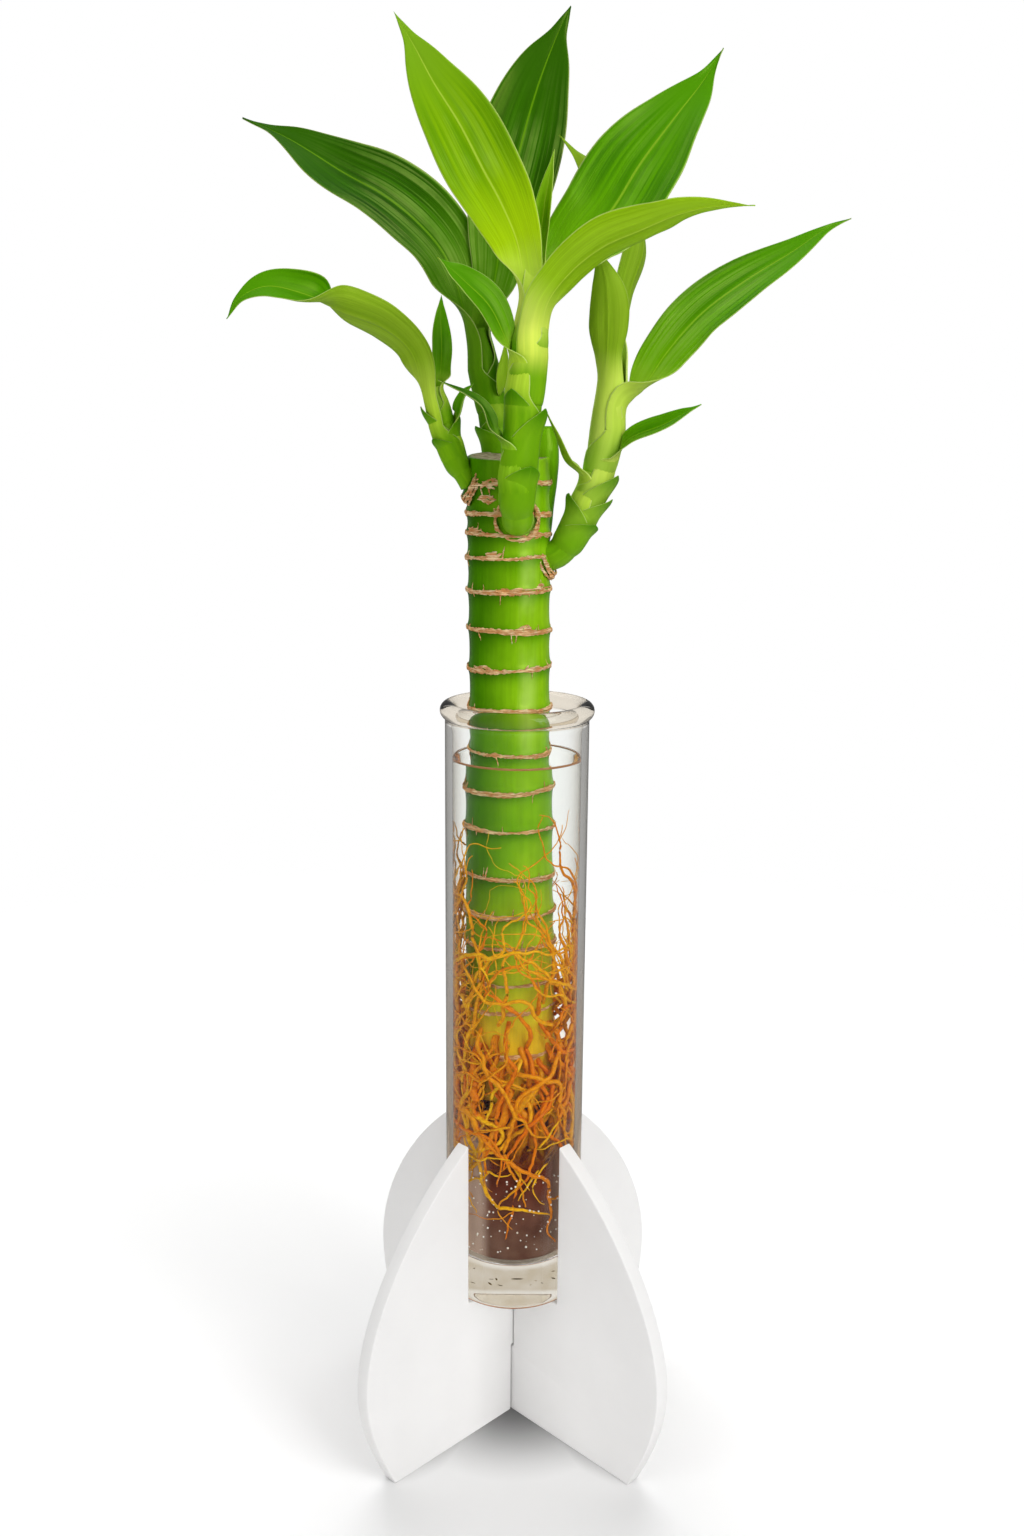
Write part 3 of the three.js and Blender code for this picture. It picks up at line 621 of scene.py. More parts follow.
def leaf_skin(name, deep, light, young, tip, under, pale, gloss, painted_sheen):
    """A leaf's two faces: fine veins along it, streaks of painted sheen, a pale foot with painted shade
    towards the plant's back, rib and edge, and a duller underside.
    """
    made, tree, shader, _, place = material(name)
    spread = tree.add("ShaderNodeUVMap", uv_map="flat").outputs[0]
    upright = {"Vector": spread, "Rotation": (math.radians(90), 0, 0)}
    flat = tree.add("ShaderNodeMapping", upright, vector_type="POINT").outputs[0]
    along, opened, below = tree.named("along"), tree.named("opened"), tree.named("under")
    across = tree.maths("ABSOLUTE", tree.named("across"))
    calm = tree.ramp(along, 0.9, 0.5)
    veins = calmed(tree, tree.group(STREAKS, vector=flat, across=6.5, along=0.12, contrast=0.36), calm)
    threads = calmed(tree, tree.group(STREAKS, vector=flat, across=32.0, along=0.4, contrast=0.6), calm)

    # Upper side, young at the foot and darker to the tip, with streaks of painted sheen
    patches = tree.group(MOTTLE, vector=place, scale=55.0, contrast=0.7)
    upper = tree.blend(veins, tone(deep), tone(light))
    upper = tree.blend(tree.times(patches, 0.35), upper, tone(light))
    upper = tree.blend(tree.ramp(along, 0.55, 0.12), upper, tone(young))
    # Painted sheen: pale streaks in patches on the upper side, fading towards the tip.
    shine = tree.group(STREAKS, vector=flat, across=9.0, along=0.1, contrast=0.16)
    where = tree.group(MOTTLE, vector=place, scale=38.0, contrast=0.3)
    sheen_streaks = tree.times(tree.times(shine, where), tree.times(calm, painted_sheen))
    upper = tree.blend(sheen_streaks, upper, tone(0xB4D864))
    upper = tree.blend(tree.ramp(along, 0.6, 1.0), upper, tone(tip))

    # Blade, with its two sides, fine threads, rib and edge
    blade = tree.blend(below, upper, tree.blend(veins, tone(under), lighter(under)))
    grain = tree.blend(threads, tone(0xA8B090), tone(0xFFFFFF))
    blade = tree.shaded(tree.times(calm, 0.42), blade, grain)
    blade = tree.blend(tree.times(tree.ramp(across, 0.035, 0.012), 0.5), blade, tone(pale))
    blade = tree.blend(tree.times(tree.ramp(across, 0.965, 0.99), 0.45), blade, tone(0xD8E48A))

    # Foot that wraps the stem, with painted shade towards the plant's back and a pale edge
    soft = tree.group(STREAKS, vector=flat, across=3.0, along=0.2, contrast=0.9)
    foot = tree.blend(veins, tone(pale), lighter(pale))
    foot = tree.blend(tree.named("sheath"), foot, tree.blend(soft, tone(0x529404), tone(0x8CC414)))
    foot = tree.blend(tree.named("pale"), foot, tree.blend(soft, tone(0xC0E23C), tone(0xE8F67C)))
    # Painted shade: the foot darkens towards the back of the plant.
    behind = tree.ramp(tree.parts(place)[1], 0.002, 0.012, 0.0, 0.65)
    foot = tree.blend(behind, foot, tone(0x3A7400))
    foot = tree.blend(tree.times(tree.ramp(across, 0.95, 0.985), 0.5), foot, tone(0xE4F0A0))

    rough = tree.plus(gloss, tree.times(threads, 0.14))
    tree.fill(shader, {
        "Base Color": tree.blend(opened, foot, blade),
        "Roughness": tree.plus(rough, tree.times(below, 0.12)),
        "Specular IOR Level": 0.32,
        "Specular Tint": GREEN_SHEEN,
    })
    relief = tree.times(tree.plus(veins, tree.times(threads, 0.5)), calm)
    relief = tree.times(relief, tree.plus(0.1, tree.times(opened, 0.9)))
    bump(tree, shader, relief, 0.00012, 0.5)
    return made


WHITE = stand_white()
GLASS = clear_glass()
STILL = still_water()
EDGE = water_edge()
MURK = murky_water()
BUBBLE = air_bubble()
SPECK = foot_speck()
SKIN = cane_skin()
CORK = scar_cork()
ROOT = root_skin()
CROWN = dark_crown()
# Each leaf's last value sets the strength of its painted sheen.
LEAF = {
    "leaf_green": leaf_skin("mid green leaf", deep=0x388000, light=0x60AA00, young=0x7ABC04, tip=0x4F9804,
                            under=0x84AE1A, pale=0xA4CC2E, gloss=0.3, painted_sheen=0.26),
    "leaf_bright": leaf_skin("yellow green leaf", deep=0x5A9A00, light=0x92C604, young=0xBEE60C, tip=0x7EB020,
                             under=0x96C80A, pale=0xD2EC54, gloss=0.3, painted_sheen=0.32),
    "leaf_dark": leaf_skin("dark green leaf", deep=0x184A00, light=0x3A7A00, young=0x5A9A08, tip=0x2E6204,
                           under=0x4E7A14, pale=0x80B814, gloss=0.26, painted_sheen=0.36),
    "shoot_stem": leaf_skin("pale shoot stem", deep=0x6CAC0C, light=0x8CC01C, young=0x5C9C04, tip=0x3C8000,
                            under=0x76A81C, pale=0x7AB40E, gloss=0.34, painted_sheen=0.0),
}


# Stand


def mirrored(side):
    return [(-x, z) for x, z in reversed(side)]


def plate_outline(from_below):
    """The outline of a plate: flat foot, bulging sides, a slot for the tube and half a lap joint."""
    foot, bulge, height = STAND["foot_reach"], STAND["bulge_reach"], STAND["bulge_height"]
    slot, top, seat, lap = STAND["slot"], STAND["top_height"], STAND["seat"], STAND["lap"]
    below, above = STAND["bulge_handles"]
    side = [(foot, 0.0)]
    bent(side, (foot, 0), STAND["foot_handle"], (bulge, below), (bulge, height), 22)
    bent(side, (bulge, height), (bulge, above), STAND["top_handle"], (slot, top), 34)
    side.append((slot, seat))
    if from_below:
        half = (seat + STAND["gap"]) / 2
        return side + mirrored(side) + [(-lap, 0.0), (-lap, half), (lap, half), (lap, 0.0)]
    side += [(lap, seat), (lap, (seat - STAND["gap"]) / 2)]
    return side + mirrored(side)


def plate(name, from_below, heading):
    outline = plate_outline(from_below)
    thick = STAND["thick"] / 2
    count = len(outline)
    points = [vec(x, y, z) for y in (-thick, thick) for x, z in outline]
    faces = [tuple(range(count)), tuple(reversed(range(count, 2 * count)))]
    faces += [(j, j + count, (j + 1) % count + count, (j + 1) % count) for j in range(count)]
    obj = piece(name, points, faces, WHITE, shiny=False)
    bevel = obj.modifiers.new("eased edges", "BEVEL")
    bevel.width = STAND["eased"] * MM
    bevel.segments = 3
    bevel.limit_method = "ANGLE"
    bevel.angle_limit = math.radians(50)
    mesh = plain_mesh(obj)
    mesh.transform(Matrix.Rotation(math.radians(heading), 4, "Z"))
    mesh.shade_smooth()
    mesh.set_sharp_from_angle(angle=math.radians(30))
    return obj


keep(plate("stand_over", True, 45), "stand_white", "stand_plate_over")
keep(plate("stand_under", False, -45), "stand_white", "stand_plate_under")


# Glass tube, water and what floats in it


INNER_WALL = TUBE["radius"] - TUBE["wall"]
STRAIGHT = (100.0, 180.0)


def glass_profile():
    """From the middle of the foot, up the outside, over the rolled rim and down to the inner floor."""
    radius, foot, floor, rim = TUBE["radius"], TUBE["foot"], TUBE["floor"], TUBE["rim_height"]
    foot_round, floor_round = TUBE["foot_round"], TUBE["floor_round"]
    neck = (rim - 4.6, rim - 2.6)
    return [
        (6.0, foot + 0.25),
        (14.0, foot + 0.1),
        *arc(radius - foot_round, foot + foot_round, foot_round, -90, 0, 8),
        (radius, foot + foot_round + 1.0),
        *((radius, height) for height in (*STRAIGHT, *neck)),
        *arc(TUBE["rim_centre"], rim, TUBE["rim_round"], -58, 238, 28),
        *((INNER_WALL, height) for height in reversed((*STRAIGHT, *neck))),
        (INNER_WALL, floor + floor_round + 1.0),
        *arc(INNER_WALL - floor_round, floor + floor_round, floor_round, 0, -90, 8),
        (8.0, floor - 0.1),
    ]


def water_profile():
    """From the middle of the floor, up the wall and in over the surface, which climbs at the glass."""
    outer = INNER_WALL - WATER["skin"]
    low = TUBE["floor"] + WATER["skin"]
    top, climb = WATER["top"], WATER["climb"]
    curve = TUBE["floor_round"]
    rise = [(outer * (1 - 0.16 * t), top + climb * math.exp(-5 * t)) for t in np.linspace(0, 1, 10)]
    return [
        (8.0, low),
        *arc(outer - curve, low + curve, curve, -90, 0, 8),
        (outer, low + curve + 1.0),
        *((outer, height) for height in STRAIGHT),
        (outer, top - 0.6),
        (outer, top + climb - 0.15),
        *rise,
        (7.0, top),
    ]


def murk_profile():
    outer, low = INNER_WALL - 2.0, TUBE["floor"]
    return [(outer - 2, low + 0.3), (outer - 0.5, low + 1.0), (outer, low + 2.0), (outer, 70), (outer, 80),
            (outer, WATER["murk_top"])]


def thin_ring(name, radius, height, across, up, surface):
    """A fine closed ring round the tube's axis with an oval section."""
    around = 8
    points = [polar(turn, radius + across * math.cos(lift), height + up * math.sin(lift))
              for lift in turns_round(around) for turn in turns_round(ROUND)]
    faces = grid_faces(around, ROUND, closed=True)
    last = (around - 1) * ROUND
    faces += [(last + j, last + (j + 1) % ROUND, (j + 1) % ROUND, j) for j in range(ROUND)]
    return piece(name, points, faces, surface)


keep(turned("glass_tube_wall", glass_profile(), GLASS), "clear_glass", "glass_tube")
keep(turned("water_fill", water_profile(), STILL), "water", "water")
# The amber ring at the water's edge is a painted reflection of the orange roots.
keep(thin_ring("water_edge_line", INNER_WALL - 0.3, WATER["top"] + 0.3, 0.16, 0.3, EDGE), "water")
keep(thin_ring("floor_edge_line", INNER_WALL - 0.9, TUBE["floor"] + 0.25, 0.14, 0.18, EDGE), "water")
keep(thin_ring("foot_edge_line", TUBE["radius"] - 0.95, TUBE["foot"] + 0.55, 0.12, 0.2, EDGE), "clear_glass")
keep(turned("murky_water", murk_profile(), MURK, 72), "water")


# Cane


def cane_centre(z):
    share = (z - CANE["foot"]) / (CANE["top"] - CANE["foot"])
    return vec(mix(CANE["lean_foot"], CANE["lean_top"], share), 0, z)


def cane_radius(z):
    return mix(CANE["radius_foot"], CANE["radius_top"], smooth(*CANE["slim"], z))


def ring_height(index, turn):
    """Height of a leaf scar at a heading round the cane: it tilts and wanders a little."""
    tilt = 0.035 * math.sin(index * 2.1)
    return RING_HEIGHTS[index] + tilt * 11 * np.cos(turn) + 0.45 * RING_WANDER[index](turn)


RING_WANDER = [waves(40 + i, 6) for i in range(len(RING_HEIGHTS))]


def cane_swell(z, turn):
    """How far the skin stands out: proud at the scars and drawn in a little between them."""
    heights = np.array([ring_height(i, turn) for i in range(len(RING_HEIGHTS))])
    near = np.abs(heights - z)
    return 0.42 * np.exp(-(near.min() / 1.3) ** 2) - 0.1 * smooth(1.5, 5, near.min())


def scar_shade_share(z, turn):
    """How much painted shade the skin takes near a scar: most just under it."""
    below = np.array([ring_height(i, turn) for i in range(len(RING_HEIGHTS))]) - z
    under = np.exp(-(np.where(below > 0, below, 9) / 2.6) ** 2).max()
    over = np.exp(-(np.where(below <= 0, below, 9) / 0.9) ** 2).max()
    return float(max(under, 0.6 * over))


def stalk():
    """The cane's skin from its foot up, then its dished and dried cut top."""
    rows = 300
    lumps, grain = waves(3, 4), waves(9, 7)
    edge = CANE["top"] - CANE["edge"]
    taper = 4
    # Each point of the skin carries its share of painted shade under the scars.
    points, cut, knot = [], [], []
    for z in np.linspace(CANE["foot"], edge, rows):
        ends = 0.0 if z > CANE["foot"] + taper else 3.2 * (1 - (z - CANE["foot"]) / taper) ** 2
        for turn in turns_round(ROUND):
            radius = cane_radius(z) + cane_swell(z, turn) + 0.12 * lumps(turn + z * 0.02) - ends
            slant = 0.1 * radius * math.sin(turn) * smooth(CANE["top"] - 8, edge, z)
            points.append(cane_centre(z) + polar(turn, radius, slant))
            cut.append(0.0)
            knot.append(scar_shade_share(z, turn))
    dish = [(0.99, 0.25, 0.0), (0.955, 0.5, 0.15), (0.9, 0.5, 0.8), (0.84, 0.35, 1.0), (0.6, 0.15, 1.0),
            (0.3, 0.1, 1.0)]
    for share, lift, dried in dish:
        for turn in turns_round(ROUND):
            radius = CANE["radius_top"] * share
            z = edge + lift + 0.12 * grain(turn + 3 * share)
            points.append(cane_centre(CANE["top"]) * vec(1, 1, 0)
                          + polar(turn, radius, z + 0.1 * radius * math.sin(turn)))
            cut.append(dried)
            knot.append(0.0)
    faces = close_ends(points, ROUND, cane_centre(CANE["foot"]), cane_centre(CANE["top"] - 0.5))
    return points, faces, {"cut": cut + [0.0, 1.0], "knot": knot + [0.0, 0.0]}


def tube_along(path, radii, sides, rows):
    """A closed round rod along a path, with its radius read from a list."""
    points = []
    sideways = vec(0, -1, 0.01)
    for i in range(rows):
        share = i / (rows - 1)
        way = path.way(share)
        sideways = square_to(sideways, way)
        other = np.cross(way, sideways)
        radius = steps_at(radii, share)
        for turn in turns_round(sides):
            points.append(path.at(share) + radius * (math.cos(turn) * sideways + math.sin(turn) * other))
    return points, close_ends(points, sides, path.at(0), path.at(1))


BOSSES = [
    {"at": vec(-12.6, -3, 279), "out": vec(-1, -0.15, 0.45), "radius": 4.2},
    {"at": vec(-0.6, -9.9, 270.5), "out": vec(0.1, -1, 0.1), "radius": 5.2},
    {"at": vec(-4.6, 8.3, 279), "out": vec(-0.2, 1, 0.6), "radius": 4.4},
    {"at": vec(7.2, -1.8, 260), "out": vec(1, -0.15, 0.45), "radius": 4.8},
]


class Heap:
    """Collects shells into one mesh."""

    def __init__(self):
        self.points, self.faces, self.floats, self.face_floats, self.uv = [], [], {}, {}, []

    def add(self, points, faces, floats=None, face_floats=None, uv=None):
        start = len(self.points)
        self.points += list(points)
        self.faces += [tuple(i + start for i in face) for face in faces]
        for label, values in (floats or {}).items():
            self.floats.setdefault(label, []).extend(values)
        for label, values in (face_floats or {}).items():
            self.face_floats.setdefault(label, []).extend(values)
        self.uv += uv or []

    def piece(self, name, surface):
        return piece(name, self.points, self.faces, surface, floats=self.floats,
                     face_floats=self.face_floats, uv=self.uv or None)


def cane_rod(line, radii, rows, knot):
    """A green rod grown out of the cane, with its values for the skin."""
    points, faces = tube_along(Path(line), radii, 32, rows)
    return points, faces, {"cut": [0.0] * len(points), "knot": [knot] * len(points)}


def build_cane():
    heap = Heap()
    heap.add(*stalk())
    stub = [vec(3.9, 3, 258), vec(5.4, 3, 272), vec(6.7, 3, 284), vec(6.9, 3, 292.4), vec(6.9, 3, 294.5)]
    stub_radii = [3.4, 3.7, 3.9, 4.0, 4.0, 3.9, 3.9, 3.95, 3.9, 3.9, 3.75, 3.3, 2.0]
    # The stub and the bosses take a share of the painted shade that the skin has under the scars.
    heap.add(*cane_rod(stub, stub_radii, 60, 0.75))
    for boss in BOSSES:
        line = [boss["at"] + unit(boss["out"]) * step for step in (-5.0, -1.0, 1.2)]
        swell = [boss["radius"] * s for s in (1.12, 1.12, 1.08, 1.0, 0.92, 0.8)]
        heap.add(*cane_rod(line, swell, 14, 0.6))
    return heap.piece("cane_stalk", SKIN)


keep(build_cane(), "cane_skin", "cane")


# Geometry node trees


def geometry_tree(name, inputs):
    inputs = [("Geometry", "NodeSocketGeometry", None), *inputs, ("Material", "NodeSocketMaterial", None)]
    return node_group(name, "GeometryNodeTree", inputs, ("Geometry", "NodeSocketGeometry"))


def end_tree(tree, result, shape, surface):
    """Ends a tree with real geometry, smooth faces and the material."""
    real = tree.add("GeometryNodeRealizeInstances", {"Geometry": shape})
    soft = tree.add("GeometryNodeSetShadeSmooth", {"Geometry": real.outputs[0], "Shade Smooth": True})
    named = tree.add("GeometryNodeSetMaterial", {"Geometry": soft.outputs[0], "Material": surface})
    tree.plug(result, named.outputs[0])


def strand_tree():
    """Sweeps a ragged flat or round cord along every line of the guide mesh.
    The guide's points carry its half width in metres as thickness, and a shade as tone."""
    group, tree, port, result = geometry_tree("strands", [
        ("Step", "NodeSocketFloat", 0.0005),
        ("Sides", "NodeSocketInt", 6),
        ("Flatness", "NodeSocketFloat", 1.0),
        ("Wander", "NodeSocketFloat", 0.0003),
        ("Wander scale", "NodeSocketFloat", 400.0),
        ("Roughness", "NodeSocketFloat", 0.4),
        ("Rough scale", "NodeSocketFloat", 900.0),
    ])
    curve = tree.add("GeometryNodeMeshToCurve", {"Mesh": port["Geometry"]})
    even = tree.add("GeometryNodeResampleCurve", {"Curve": curve.outputs[0]}, mode="LENGTH")
    tree.plug(even.inputs["Length"], port["Step"])
    place = tree.add("GeometryNodeInputPosition").outputs[0]
    drift = tree.add("ShaderNodeTexNoise", {"Vector": place, "Scale": port["Wander scale"], "Detail": 2.0})
    centred = tree.vector("SUBTRACT", drift.outputs["Color"], (0.5, 0.5, 0.5))
    offset = tree.scaled(centred, port["Wander"])
    moved = tree.add("GeometryNodeSetPosition", {"Geometry": even.outputs[0], "Offset": offset})
    grain = tree.add("ShaderNodeTexNoise", {"Vector": place, "Scale": port["Rough scale"], "Detail": 3.0})
    uneven = tree.times(tree.less(grain.outputs[0], 0.5), port["Roughness"])
    width = tree.add("GeometryNodeInputNamedAttribute", {"Name": "thickness"}, data_type="FLOAT").outputs[0]
    radius = tree.times(width, tree.plus(1.0, uneven))
    upright = tree.add("GeometryNodeSetCurveNormal", {"Curve": moved.outputs[0]}, mode="Z_UP")
    round_section = {"Resolution": port["Sides"], "Radius": 1.0}
    ring = tree.add("GeometryNodeCurvePrimitiveCircle", round_section, mode="RADIUS")
    shape = tree.add("ShaderNodeCombineXYZ", {0: port["Flatness"], 1: 1.0, 2: 1.0})
    flat = tree.add("GeometryNodeTransform", {"Geometry": ring.outputs[0], "Scale": shape.outputs[0]})
    swept = tree.add("GeometryNodeCurveToMesh", {
        "Curve": upright.outputs[0],
        "Profile Curve": flat.outputs[0],
        "Scale": radius,
        "Fill Caps": True,
    })
    end_tree(tree, result, swept.outputs[0], port["Material"])
    return group


def speck_tree():
    """Scatters small round specks over the guide mesh."""
    group, tree, port, result = geometry_tree("specks", [
        ("Density", "NodeSocketFloat", 1000.0),
        ("Smallest", "NodeSocketFloat", 0.0001),
        ("Largest", "NodeSocketFloat", 0.0003),
        ("Stretch", "NodeSocketVector", (1.0, 1.0, 1.0)),
        ("Seed", "NodeSocketInt", 1),
    ])
    spread = tree.add("GeometryNodeDistributePointsOnFaces", {
        "Mesh": port["Geometry"],
        "Density": port["Density"],
        "Seed": port["Seed"],
    })
    ball = tree.add("GeometryNodeMeshIcoSphere", {"Radius": 1.0, "Subdivisions": 2})
    size = tree.add("FunctionNodeRandomValue", data_type="FLOAT")
    ends = [s for s in size.inputs if s.name in ("Min", "Max") and s.type == "VALUE"]
    tree.plug(ends[0], port["Smallest"])
    tree.plug(ends[1], port["Largest"])
    tree.plug(size.inputs["Seed"], port["Seed"])
    value = next(s for s in size.outputs if s.type == "VALUE")
    turn = tree.add("ShaderNodeCombineXYZ", {2: value})
    placed = tree.add("GeometryNodeInstanceOnPoints", {
        "Points": spread.outputs["Points"],
        "Instance": ball.outputs[0],
        "Scale": tree.scaled(port["Stretch"], value),
        "Rotation": tree.scaled(turn.outputs[0], 90000.0),
    })
    end_tree(tree, result, placed.outputs[0], port["Material"])
    return group


def grown(name, guide, group, **values):
    """Runs a geometry node tree on a guide mesh and keeps the result as a plain mesh."""
    obj = bpy.data.objects.new(name, guide)
    modifier = obj.modifiers.new("grow", "NODES")
    modifier.node_group = group
    for item in group.interface.items_tree:
        label = item.name.lower().replace(" ", "_")
        if item.item_type == "SOCKET" and item.in_out == "INPUT" and label in values:
            modifier[item.identifier] = values[label]
    bpy.context.scene.collection.objects.link(obj)
    plain_mesh(obj)
    bpy.data.meshes.remove(guide)
    return obj


def line(points, widths, shade, closed=False):
    """A line of points in millimetres with a half width at each, and one shade."""
    return {"points": points, "widths": widths, "tone": shade, "closed": closed}


def guide_mesh(lines):
    """Lines as a mesh of edges, for the strands to grow along. A closed line ends on its start."""
    points, edges, thickness, tones = [], [], [], []
    for strand in lines:
        start = len(points)
        count = len(strand["points"])
        points += [p * MM for p in strand["points"]]
        thickness += [w * MM for w in strand["widths"]]
        tones += [strand["tone"]] * count
        edges += [(start + i, start + i + 1) for i in range(count - 1)]
        if strand["closed"]:
            edges.append((start + count - 1, start))
    mesh = bpy.data.meshes.new("guide")
    mesh.from_pydata([tuple(p) for p in points], edges, [])
    for label, values in (("thickness", thickness), ("tone", tones)):
        attribute = mesh.attributes.new(label, "FLOAT", "POINT")
        attribute.data.foreach_set("value", np.asarray(values, np.float32))
    return mesh


STRANDS = strand_tree()
SPECKS = speck_tree()


# Leaf scars on the cane


def on_cane(turn, z, proud):
    return cane_centre(z) + polar(turn, cane_radius(z) + cane_swell(z, turn) + proud)


def scar_lines():
    """At each scar a ragged ring, a shorter one beside it, and torn tags and bands of bark."""
    chance = random.Random(12)
    lines = []
    for index in range(len(RING_HEIGHTS)):
        spread = waves(70 + index, 9, 3.0)
        turns = np.linspace(0, FULL_TURN, 121)[:-1]
        ring = [on_cane(t, ring_height(index, t), 0.05) for t in turns]
        lines.append(line(ring, [0.5 + 0.36 * spread(t) for t in turns], 0.5, closed=True))
        start, reach = chance.uniform(0, 6), chance.uniform(1.6, 3.4)
        beside = chance.choice([-1, 1]) * chance.uniform(0.6, 0.9)
        second = []
        for t in np.linspace(start + 0.01, start + reach - 0.01, 60):
            lift = beside * math.sin(math.pi * (t - start) / reach) ** 0.5
            second.append(on_cane(t, ring_height(index, t) + lift, 0.1))
        lines.append(line(second, [0.26 + 0.14 * spread(2 * t) for t in np.linspace(0, 3, 60)], 0.7))
        for _ in range(11):
            turn = chance.uniform(0, FULL_TURN)
            rise = chance.choice([-1, 1]) * chance.uniform(0.8, 3.6)
            slant = chance.uniform(-0.06, 0.06)
            start = ring_height(index, turn)
            tag = [on_cane(turn + slant * s, start + rise * s, 0.03) for s in np.linspace(0, 1, 6)]
            lines.append(line(tag, [0.3, 0.26, 0.22, 0.18, 0.14, 0.06], 0.8))
        for _ in range(5):
            turn = chance.uniform(0, FULL_TURN)
            reach = chance.uniform(0.12, 0.5)
            lift = chance.uniform(-0.9, 0.9)
            band, widths = [], []
            for s in np.linspace(0, 1, 10):
                height = ring_height(index, turn + reach * s) + lift * math.sin(math.pi * s)
                band.append(on_cane(turn + reach * s, height, 0.06))
                widths.append(0.3 * math.sin(math.pi * (0.08 + 0.84 * s)) + 0.08)
            lines.append(line(band, widths, 0.3))
    return lines


def collar_lines():
    """Ragged bark round the foot of each shoot."""
    loops = [(0.0, 1.12, 0.55), (-0.9, 1.17, 0.5), (0.7, 1.05, 0.4)]
    turns = np.linspace(0, FULL_TURN, 73)[:-1]
    lines = []
    for index, boss in enumerate(BOSSES):
        way = unit(boss["out"])
        side = square_to(vec(0, 0, 1), way)
        other = np.cross(way, side)
        spread = waves(90 + index, 8, 3.0)
        for number, (lift, grow, width) in enumerate(loops):
            wander = waves(110 + 7 * index + number, 7, 3.0)
            loop = []
            for turn in turns:
                radius = boss["radius"] * grow + 0.25 * wander(turn)
                lifted = lift + 0.5 * wander(turn + 1)
                facing = math.cos(turn) * side + math.sin(turn) * other
                loop.append(boss["at"] + way * lifted + radius * facing)
            lines.append(line(loop, [width * (1 + 0.5 * spread(t)) for t in turns], 0.5, closed=True))
    return lines


def patch_lines():
    """Fibrous patches of bark: short strands crowded together, each patch by its heading and height."""
    chance = random.Random(31)
    patches = [
        (-2.2, 279.5, 0.42, 2.0, 16), (-1.05, 280.5, 0.14, 2.6, 12), (-1.5, 251.8, 0.3, 1.3, 14),
        (-0.7, 252.5, 0.1, 1.6, 8), (-2.5, 267.5, 0.25, 1.0, 8), (-0.95, 266.6, 0.18, 1.1, 8),
        (1.2, 262.0, 0.3, 1.6, 12), (2.4, 244.0, 0.2, 1.4, 8), (-2.1, 275.5, 0.16, 1.6, 14),
        (-1.15, 272.5, 0.12, 1.2, 8), (-2.0, 261.5, 0.22, 0.9, 8), (-1.2, 242.0, 0.2, 0.7, 8),
        (-2.3, 231.0, 0.25, 0.7, 8), (-1.0, 231.2, 0.2, 0.7, 8),
    ]
    lines = []
    for heading, height, reach, rise, count in patches:
        for _ in range(count):
            turn = heading + chance.uniform(-reach, reach)
            z = height + chance.uniform(-rise, rise) * 0.6
            run = chance.uniform(0.05, 0.16)
            climb = chance.uniform(-0.7, 0.7)
            strand = [on_cane(turn + run * s, z + climb * s, 0.05) for s in np.linspace(-1, 1, 6)]
            lines.append(line(strand, [0.1, 0.3, 0.36, 0.34, 0.26, 0.1], 0.4))
    return lines


scar_guide = guide_mesh(scar_lines() + collar_lines() + patch_lines())
scars = grown("leaf_scars", scar_guide, STRANDS, step=0.0004, sides=8, flatness=0.55, wander=0.0006,
              wander_scale=800.0, roughness=2.2, rough_scale=1500.0, material=CORK)
keep(scars, "cane_skin")


# Roots


ROOT_RANGE = (60, 193)
ROOT_REACH = 17.2


def root_walk(chance, start, heading, length, reach, straight, widths, shade):
    """A root that wanders over a cylinder: start is (heading round the axis, radius, height)."""
    turn, radius, z = start
    step = 1.0
    count = max(int(length / step), 3)
    way = heading
    points = []
    for i in range(count + 1):
        centre = cane_centre(max(z, CANE["foot"])) * smooth(17.5, 12, radius)
        points.append(polar(turn, radius, z) + vec(centre[0], 0, 0))
        way += chance.gauss(0, 0.26) - straight * math.sin(way - heading)
        turn += step * math.sin(way) / radius
        z += step * math.cos(way)
        radius += (reach - radius) * 0.16 + chance.gauss(0, 0.12)
        radius = min(radius, ROOT_REACH)
        if not ROOT_RANGE[0] <= z <= ROOT_RANGE[1]:
            break
    count = len(points)
    tapered = [steps_at(widths, i / max(count - 1, 1)) for i in range(count)]
    return line(points, tapered, shade)


def offshoots(chance, parents, count, low, high, thin):
    """Side roots that leave older ones and wander off beside them."""
    lines = []
    for _ in range(count):
        parent = chance.choice(parents)
        if len(parent["points"]) < 8:
            continue
        at = chance.randrange(3, len(parent["points"]) - 2)
        point = parent["points"][at]
        way = parent["points"][at + 1] - point
        turn = math.atan2(point[1], point[0])
        radius = math.hypot(point[0], point[1])
        around = -math.sin(turn) * way[0] + math.cos(turn) * way[1]
        heading = math.atan2(around, way[2]) + chance.choice([-1, 1]) * chance.uniform(0.5, 1.2)
        width = parent["widths"][at] * thin
        widths = [width, width * 0.85, width * 0.6, 0.08]
        shade = min(1.0, parent["tone"] + 0.25)
        lines.append(root_walk(chance, (turn, radius, point[2]), heading, chance.uniform(low, high),
                               radius + 0.4, 0.08, widths, shade))
    return lines


def spread_turns(chance, count):
    """Headings round the axis, one drawn in each equal share of the circle."""
    for i in range(count):
        yield FULL_TURN * (i + chance.random()) / count


